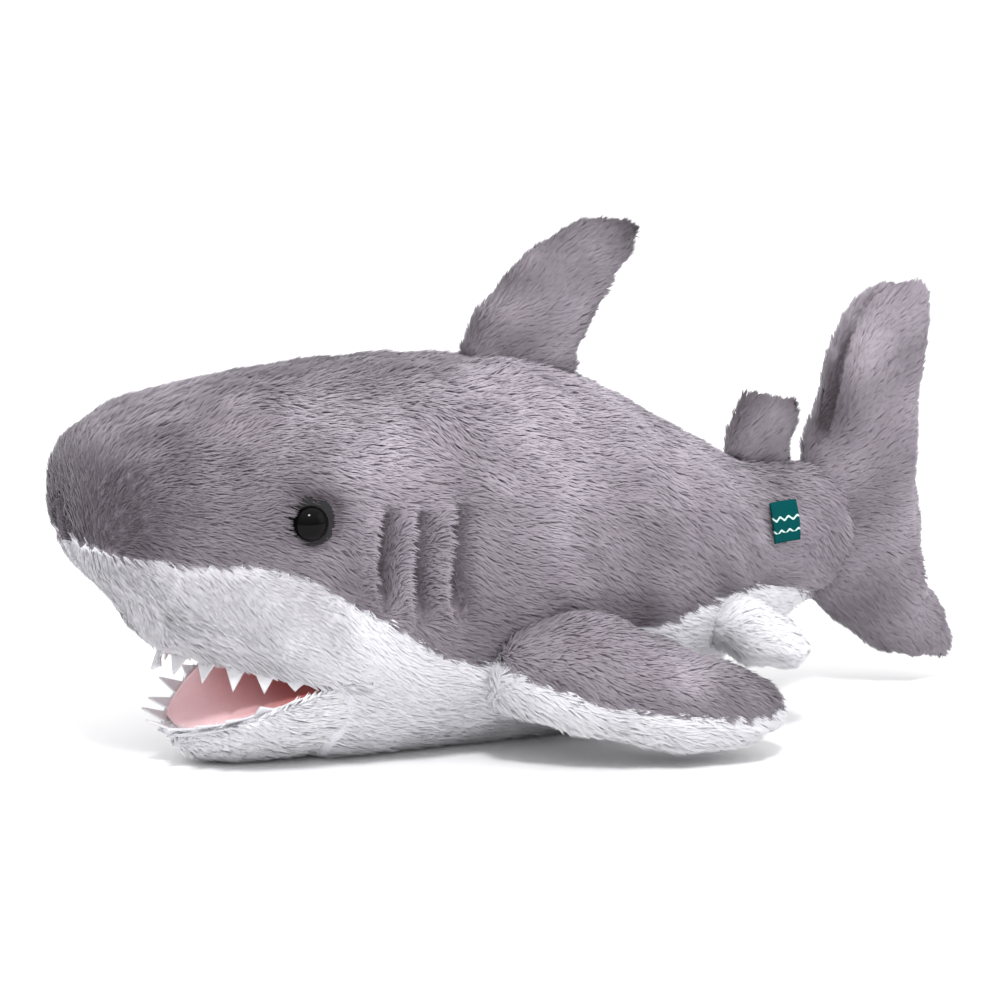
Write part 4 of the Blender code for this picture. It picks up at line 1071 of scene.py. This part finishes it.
for label, side in (("left", -1.0), ("right", 1.0)):
    plushPanel(
        "tail_panel_" + label, tailForm, lockCounts["tail"], lambda p, n: p[:, 1] * side >= 0,
        tailNap, tailShade, 160 + int(side), "tail_fin", "grey_plush", greyPile, length=5.2,
    )
stuffing(tailForm, "tail_fin", greyBacking, "tail_filling")

pectoralSeam = curveThrough(pectoralShape["seamX"], pectoralShape["seamZ"])


def sided(strip, side):
    return tuple((x, side * y, z) for x, y, z in strip)


def overSeam(p):
    return p[:, 2] / mm > pectoralSeam(p[:, 0] / mm)


for label, side in (("left", -1.0), ("right", 1.0)):
    strip = sided(pectoralStrip, side)
    for face, look, slot, count in (
        ("top", greyPile, "dark_plush", 17000), ("bottom", whitePile, "white_plush", 15000)
    ):
        plushPanel(
            "pectoral_" + label + "_panel_" + face, pectoralForms[label], count,
            lambda p, n: (overSeam(p) & (n[:, 2] > -0.8)) == (face == "top"),
            lambda p, out: steady(p, 1, side * 0.25, -0.45 * np.abs(out[:, 1])),
            (lambda p, out: 0.40 + 0.36 * smoothStep((p[:, 0] - 0.02) / 0.05) + 0.12 * waves(p, 0.03, 68))
            if face == "top" else (lambda p, out: 0.24 + 0.12 * waves(p, 0.03, 69)),
            170 + int(side) + (face == "top") * 4, "pectoral_fin_" + label, slot, look, strip, length=5.8,
        )
    filling = "pectoral_" + label + "_filling"
    stuffing(pectoralForms[label], "pectoral_fin_" + label, whiteBacking, filling, strip)
    twoGrounds(pectoralForms[label], overSeam)
    strip = sided(pelvicStrip, side)
    for face in ("top", "bottom"):
        plushPanel(
            "pelvic_" + label + "_panel_" + face, pelvicForms[label], lockCounts["pelvic"],
            lambda p, n: (n[:, 2] > 0) == (face == "top"),
            lambda p, out: steady(p, 1, side * 0.3, -0.2),
            lambda p, out: 0.10 * waves(p, 0.03, 70), 190 + int(side) + (face == "top") * 4,
            "pelvic_fin_" + label, "white_plush", whitePile, strip, length=5.2,
        )
    filling = "pelvic_" + label + "_filling"
    stuffing(pelvicForms[label], "pelvic_fin_" + label, whiteBacking, filling, strip)
print("stage: fin plush grown")


def thickSheet(name, grid, thickness):
    # a closed sheet around a grid of points: each side half the thickness along the grid's normals
    along, over = np.gradient(grid, axis=0), np.gradient(grid, axis=1)
    out = clean(np.cross(along, over)) * thickness / 2
    rows, columns = grid.shape[:2]
    count = rows * columns
    points = np.concatenate([(grid + out).reshape(-1, 3), (grid - out).reshape(-1, 3)])
    r, c = np.meshgrid(np.arange(rows - 1), np.arange(columns - 1), indexing="ij")
    a = (r * columns + c).ravel()
    top = np.stack([a, a + columns, a + columns + 1, a + 1], 1)
    under = top[:, ::-1] + count
    rim = np.concatenate([
        np.arange(columns), np.arange(1, rows) * columns + columns - 1,
        (rows - 1) * columns + np.arange(columns - 2, -1, -1), np.arange(rows - 2, 0, -1) * columns,
    ])
    ahead = np.roll(rim, -1)
    edge = np.stack([rim, ahead, ahead + count, rim + count], 1)
    return meshPiece(name, points, [top, under, edge])


def halfWidthAtRoof(x):
    shape = bodySection(x)
    return sectionPoint(x, angleAt(roofHeight(x), shape), shape)[..., 1]


def halfWidthAtFloor(x):
    shape = jawSection(x)
    return sectionPoint(x, angleAt(floorHeight(x), shape), shape)[..., 1]


liningShape = {"thick": 1.6, "roofFront": -180.0, "floorFront": -171.0, "back": -119.0, "inset": 5.5}


def shadeSheet(sheet, values):
    # the same shade on both sides of a sheet, point for point of its grid
    both = np.tile(np.clip(values, 0, 1).ravel(), 2).astype(np.float32)
    sheet.data.attributes.new("shade", "FLOAT", "POINT").data.foreach_set("value", both)


def makeLinings():
    # two velvet sheets over the roof and floor of the mouth, arched across by 4 t (1 - t)
    t = np.linspace(-1, 1, 33)[None, :]
    x = np.linspace(liningShape["roofFront"], liningShape["back"], 34)[:, None]
    half = np.maximum(halfWidthAtRoof(x) - liningShape["inset"], 2.0)
    z = roofHeight(x) - 0.6 + 4.5 * (1 - t * t) * smoothStep((x + 190) / 14)
    grid = np.stack(np.broadcast_arrays(x, half * t, z), -1) * mm
    roof = thickSheet("mouth_roof_velvet", grid, liningShape["thick"] * mm)
    # painted shade: the roof of the mouth darkened all over
    shadeSheet(roof, 0.55 + 0 * z)
    x = np.linspace(liningShape["floorFront"], liningShape["back"], 34)[:, None]
    half = np.maximum(halfWidthAtFloor(x) - liningShape["inset"], 2.0)
    z = floorHeight(x) + 0.4 - 2.6 * (1 - t * t)
    grid = np.stack(np.broadcast_arrays(x, half * t, z), -1) * mm
    floor = thickSheet("mouth_floor_velvet", grid, liningShape["thick"] * mm)
    # painted shade: the floor darker where the roof comes close above it
    shadeSheet(floor, 1 - smoothStep((roofHeight(x) - z + 4 * t - 2) / 24))
    return roof, floor


toothShape = {
    "count": 11,
    "width": 8.6,
    "height": 11.0,
    "thick": 1.0,
    "band": 0.9,  # of felt between the teeth
    "sunk": 3.0,  # how far the strip goes under the lip
    "clear": 7.0,  # of the strip's ends without teeth
}


def toothStrip(name, halfWidth, height, up, seed, front, inset, reach, splay):
    # a felt strip round a lip: a band with pointed teeth, height by a triangle wave of the length,
    # turned outwards from upright by splay degrees, the second value at the front
    rng = np.random.default_rng(seed)
    x = front + (mouthHinge[0] - 2 - front) * (1 - np.cos(np.linspace(0, math.pi / 2, 240)))
    y = np.maximum(halfWidth(x) - inset, 0.2)
    outline = np.concatenate([np.stack([x, -y], 1)[::-1], np.stack([x, y], 1)[1:]])
    steps = np.concatenate([[0], np.cumsum(np.linalg.norm(np.diff(outline, axis=0), axis=1))])
    clear, count = toothShape["clear"], toothShape["count"]
    s = np.linspace(clear, steps[-1] - clear, 16 * count + 1)
    pitch = (s[-1] - s[0]) / count
    place = np.stack([np.interp(s, steps, outline[:, k]) for k in (0, 1)], 1)
    wave = (s - s[0]) / pitch
    number = np.minimum(wave.astype(int), count - 1)
    across = np.abs(wave - number - 0.5) * pitch / (toothShape["width"] / 2)
    own = rng.uniform(0.88, 1.10, count)[number]
    tall = np.minimum(toothShape["height"], reach * (mouthHinge[0] - place[:, 0])) * own
    rise = np.clip(1 - across, 0, 1) * (tall - toothShape["band"]) + toothShape["band"]
    t = np.linspace(0, 1, 9)[None, :]
    above = -toothShape["sunk"] + (rise[:, None] + toothShape["sunk"]) * t
    along = clean(np.gradient(place, axis=0))
    outward = np.stack([-along[:, 1], along[:, 0]], 1)
    ahead = smoothStep((front + 30 - place[:, 0]) / 30)
    turn = np.radians(splay[0] + (splay[1] - splay[0]) * ahead + rng.uniform(-9, 9, count)[number])[:, None]
    shown = np.maximum(above, 0)
    flat = place[:, None, :] + outward[:, None, :] * (shown * np.sin(turn))[..., None]
    z = height(place[:, 0])[:, None] + up * (np.minimum(above, 0) + shown * np.cos(turn))
    grid = np.concatenate([flat, z[..., None]], -1) * mm
    piece = thickSheet(name, grid, toothShape["thick"] * mm)
    area = float(np.sum((rise + toothShape["sunk"])[:-1] * np.diff(s))) * mm * mm
    box = ((s[-1] - s[0]) * mm, (toothShape["height"] * 1.1 + toothShape["sunk"]) * mm)
    return piece, box, min(area, box[0] * box[1])


roofVelvet, floorVelvet = makeLinings()
finish(roofVelvet, "body", ["mouth_roof_lining"], pinkVelvet)
finish(floorVelvet, "jaw", ["mouth_floor_lining"], pinkVelvet, jawStrip)
upperTeeth, size, area = toothStrip(
    "upper_teeth_felt", halfWidthAtRoof, roofHeight, -1, 5, -179.0, 4.6, 0.34, (4, 24)
)
finish(upperTeeth, "body", ["upper_teeth"], whiteFelt)
lowerTeeth, size, area = toothStrip(
    "lower_teeth_felt", halfWidthAtFloor, floorHeight, 1, 6, -175.5, 5.0, 0.30, (66, 74)
)
finish(lowerTeeth, "jaw", ["lower_teeth"], whiteFelt)


def eyeFrame(side):
    # place and outward direction, from the section at the eye
    x, e = eyeShape["x"], 0.5
    angle = angleAt(eyeShape["z"], bodySection(x))
    here = sectionPoint(x, angle, bodySection(x))
    ahead = sectionPoint(x + e, angleAt(eyeShape["z"], bodySection(x + e)), bodySection(x + e))
    above = sectionPoint(x, angleAt(eyeShape["z"] + e, bodySection(x)), bodySection(x))
    out = clean(np.cross(ahead - here, above - here))
    out = out if out[1] > 0 else -out
    turned = np.array([1, side, 1])
    return here * turned, out * turned


def turned(name, profile, around, place, out):
    # a surface of revolution about out: radius and height along the profile, first and last on the axis
    first = clean(np.cross(out, [0.0, 0.0, 1.0]))
    second = np.cross(out, first)
    turn = np.linspace(0, 2 * math.pi, around, endpoint=False)
    ring = np.cos(turn)[:, None] * first + np.sin(turn)[:, None] * second
    rings = place + profile[:, 0, None, None] * ring[None] + profile[:, 1, None, None] * out
    return ringForm(name, rings * mm)


gloss, nodes, links, shader = plainMaterial("black glossy eye", (0.004, 0.004, 0.005), 0.05)
shader.inputs["Specular IOR Level"].default_value = 0.10
smear = noiseNode(nodes, links, objectPlace(nodes), 260.0)
links.new(mathNode(nodes, links, "MULTIPLY", smear, 0.14), shader.inputs["Roughness"])
links.new(mixColours(nodes, links, smear, (0.001, 0.001, 0.001, 1), (0.003, 0.0025, 0.0028, 1)),
          shader.inputs["Base Color"])

feltDisc = np.array([[0.1, 0.3], [8.8, 0.5], [9.7, 0.1], [9.9, -0.5], [9.6, -1.0], [0.1, -1.0]])
feltWider = 1.12
feltAside = [0.9, 0, 1.3]  # the patch sits a little back and high behind the eye

for label, side in (("left", -1.0), ("right", 1.0)):
    place, out = eyeFrame(side)
    radius, dome = eyeShape["radius"], eyeShape["dome"]
    a = np.linspace(0.02, math.pi / 2, 24)
    skirt = np.array([[radius * 0.99, -0.8], [radius * 0.9, -1.4], [radius * 0.02, -1.4]])
    profile = np.concatenate([np.stack([radius * np.sin(a), dome * np.cos(a)], 1), skirt])
    eye = turned("eye_" + label + "_dome", profile, 64, place - out * 2.2, out)
    finish(eye, "body", ["eye_" + label], gloss)
    spot = place - out * 3.3 + feltAside
    felt = turned("eye_patch_" + label + "_felt", feltDisc * [feltWider, 1], 48, spot, out)
    finish(felt, "body", ["eye_patch_" + label], blackFelt)

labelShape = {"front": 104.0, "long": 16.0, "low": 84.0, "high": 102.0, "thick": 0.9, "lift": 3.2}


def makeLabel():
    # a stiff ribbon on the left flank, its rear end standing off by a parabola of its length
    t = np.linspace(0, 1, 20)[:, None]
    u = np.linspace(0, 1, 20)[None, :]
    x = labelShape["front"] + labelShape["long"] * t
    z = labelShape["low"] + (labelShape["high"] - labelShape["low"]) * u
    shape = bodySection(x)
    flat = sectionPoint(x, angleAt(z, shape), shape)
    out = 0.9 + labelShape["lift"] * t * t + 0.5 * np.sin(3.1 * u) * t
    grid = np.stack(np.broadcast_arrays(x, -(flat[..., 1] + out), z), -1) * mm
    return thickSheet("label_ribbon", grid, labelShape["thick"] * mm)


def labelMaterial():
    # woven teal ribbon: ribs across it from a sine, lighter waved lines, and noise in the thread
    made, nodes, links, shader = plainMaterial("teal woven ribbon", (0.0, 0.16, 0.13), 0.85)
    shader.inputs["Specular IOR Level"].default_value = 0.06
    place = objectPlace(nodes)
    ribs = nodes.new("ShaderNodeTexWave")
    ribs.bands_direction = "Z"
    ribs.inputs["Scale"].default_value = 700.0
    ribs.inputs["Distortion"].default_value = 0.5
    links.new(place, ribs.inputs["Vector"])
    weave = noiseNode(nodes, links, place, 900.0)
    shade = mathNode(nodes, links, "MULTIPLY", ribs.outputs["Fac"], weave)
    teal = mixColours(nodes, links, shade, (0.0, 0.052, 0.056, 1), (0.0, 0.105, 0.108, 1))
    split = nodes.new("ShaderNodeSeparateXYZ")
    links.new(place, split.inputs[0])
    swing = mathNode(nodes, links, "SINE", mathNode(nodes, links, "MULTIPLY", split.outputs["X"], 1200.0))
    swing = mathNode(nodes, links, "MULTIPLY", swing, 0.0007)
    height = mathNode(nodes, links, "ADD", split.outputs["Z"], swing)
    lines = mathNode(nodes, links, "FRACT", mathNode(nodes, links, "MULTIPLY", height, 170.0))
    near = mathNode(nodes, links, "LESS_THAN", lines, 0.17)
    band = mathNode(nodes, links, "COMPARE", split.outputs["Z"], 0.0935)
    band.node.inputs[2].default_value = 0.0052
    near = mathNode(nodes, links, "MULTIPLY", near, band)
    colour = mixColours(nodes, links, near, teal, (0.55, 0.72, 0.68, 1))
    links.new(colour, shader.inputs["Base Color"])
    bumped(nodes, links, shader, shade, 0.0002, 1.0)
    return made


ribbon = makeLabel()
finish(ribbon, "body", ["label"], labelMaterial())

washerLook, nodes, links, shader = plainMaterial("washer plastic", (0.75, 0.75, 0.72), 0.45)
milk = noiseNode(nodes, links, objectPlace(nodes), 300.0)
milk = mixColours(nodes, links, milk, (0.66, 0.66, 0.62, 1), (0.8, 0.8, 0.78, 1))
links.new(milk, shader.inputs["Base Color"])
for label in ("left", "right"):
    washer = frame["nodes"]["eye_washer_" + label]
    washer.data.materials.clear()
    washer.data.materials.append(washerLook)
print("stage: mouth, eyes and label made")


cameraShape = {
    "azimuth": -25.0,
    "elevation": 10.0,
    "distance": 1.6,
    "aim": (-0.015, 0.0, 0.1065),
    "width": 0.453,  # of the view at the aim
}


def aimed(thing, place, target):
    # turns a camera or light at place to look at target
    thing.location = place
    thing.rotation_euler = (Vector(target) - Vector(place)).to_track_quat("-Z", "Y").to_euler()


def makeStage():
    corners = 40.0 * np.array([[-1, -1, 0], [1, -1, 0], [1, 1, 0], [-1, 1, 0]])
    ground = meshPiece("studio_floor", corners, [np.array([[0, 1, 2, 3]])], False)
    look, nodes, links, shader = plainMaterial("white studio floor", (0.93, 0.93, 0.935), 0.9)
    shader.inputs["Specular IOR Level"].default_value = 0.1
    ground.data.materials.append(look)
    world = bpy.data.worlds.new("studio")
    bpy.context.scene.world = world
    world.use_nodes = True
    # a white dome, brighter overhead: horizon + rise * height
    nodes, links = world.node_tree.nodes, world.node_tree.links
    split = nodes.new("ShaderNodeSeparateXYZ")
    links.new(nodes.new("ShaderNodeTexCoord").outputs["Generated"], split.inputs[0])
    height = mathNode(nodes, links, "MAXIMUM", split.outputs["Z"], 0.0)
    strength = mathNode(nodes, links, "ADD", mathNode(nodes, links, "MULTIPLY", height, 1.25), 0.35)
    nodes["Background"].inputs["Color"].default_value = (1.0, 1.0, 1.0, 1)
    links.new(strength, nodes["Background"].inputs["Strength"])
    for name, place, size, power, colour in (
        ("key", (-0.5, -1.3, 1.7), 0.34, 28.0, (1.0, 0.99, 0.98)),
        ("fill", (1.5, -1.2, 0.9), 1.4, 6.0, (0.97, 0.98, 1.0)),
        ("rim", (0.5, 1.6, 1.3), 1.2, 6.0, (1.0, 1.0, 1.0)),
    ):
        lamp = bpy.data.lights.new(name, "AREA")
        lamp.size, lamp.energy, lamp.color = size, power, colour
        thing = bpy.data.objects.new(name, lamp)
        bpy.context.scene.collection.objects.link(thing)
        aimed(thing, place, (0, 0, 0.08))


def makeCamera():
    azimuth, elevation = math.radians(cameraShape["azimuth"]), math.radians(cameraShape["elevation"])
    back = np.array([math.sin(azimuth) * math.cos(elevation), -math.cos(azimuth) * math.cos(elevation),
                     math.sin(elevation)])
    lens = bpy.data.cameras.new("camera")
    lens.sensor_width = 36.0
    lens.lens = 36.0 * cameraShape["distance"] / cameraShape["width"]
    camera = bpy.data.objects.new("camera", lens)
    bpy.context.scene.collection.objects.link(camera)
    target = np.array(cameraShape["aim"])
    aimed(camera, tuple(target + back * cameraShape["distance"]), tuple(target))
    bpy.context.scene.camera = camera


makeStage()
makeCamera()
bpy.context.scene.view_settings.view_transform = "Standard"
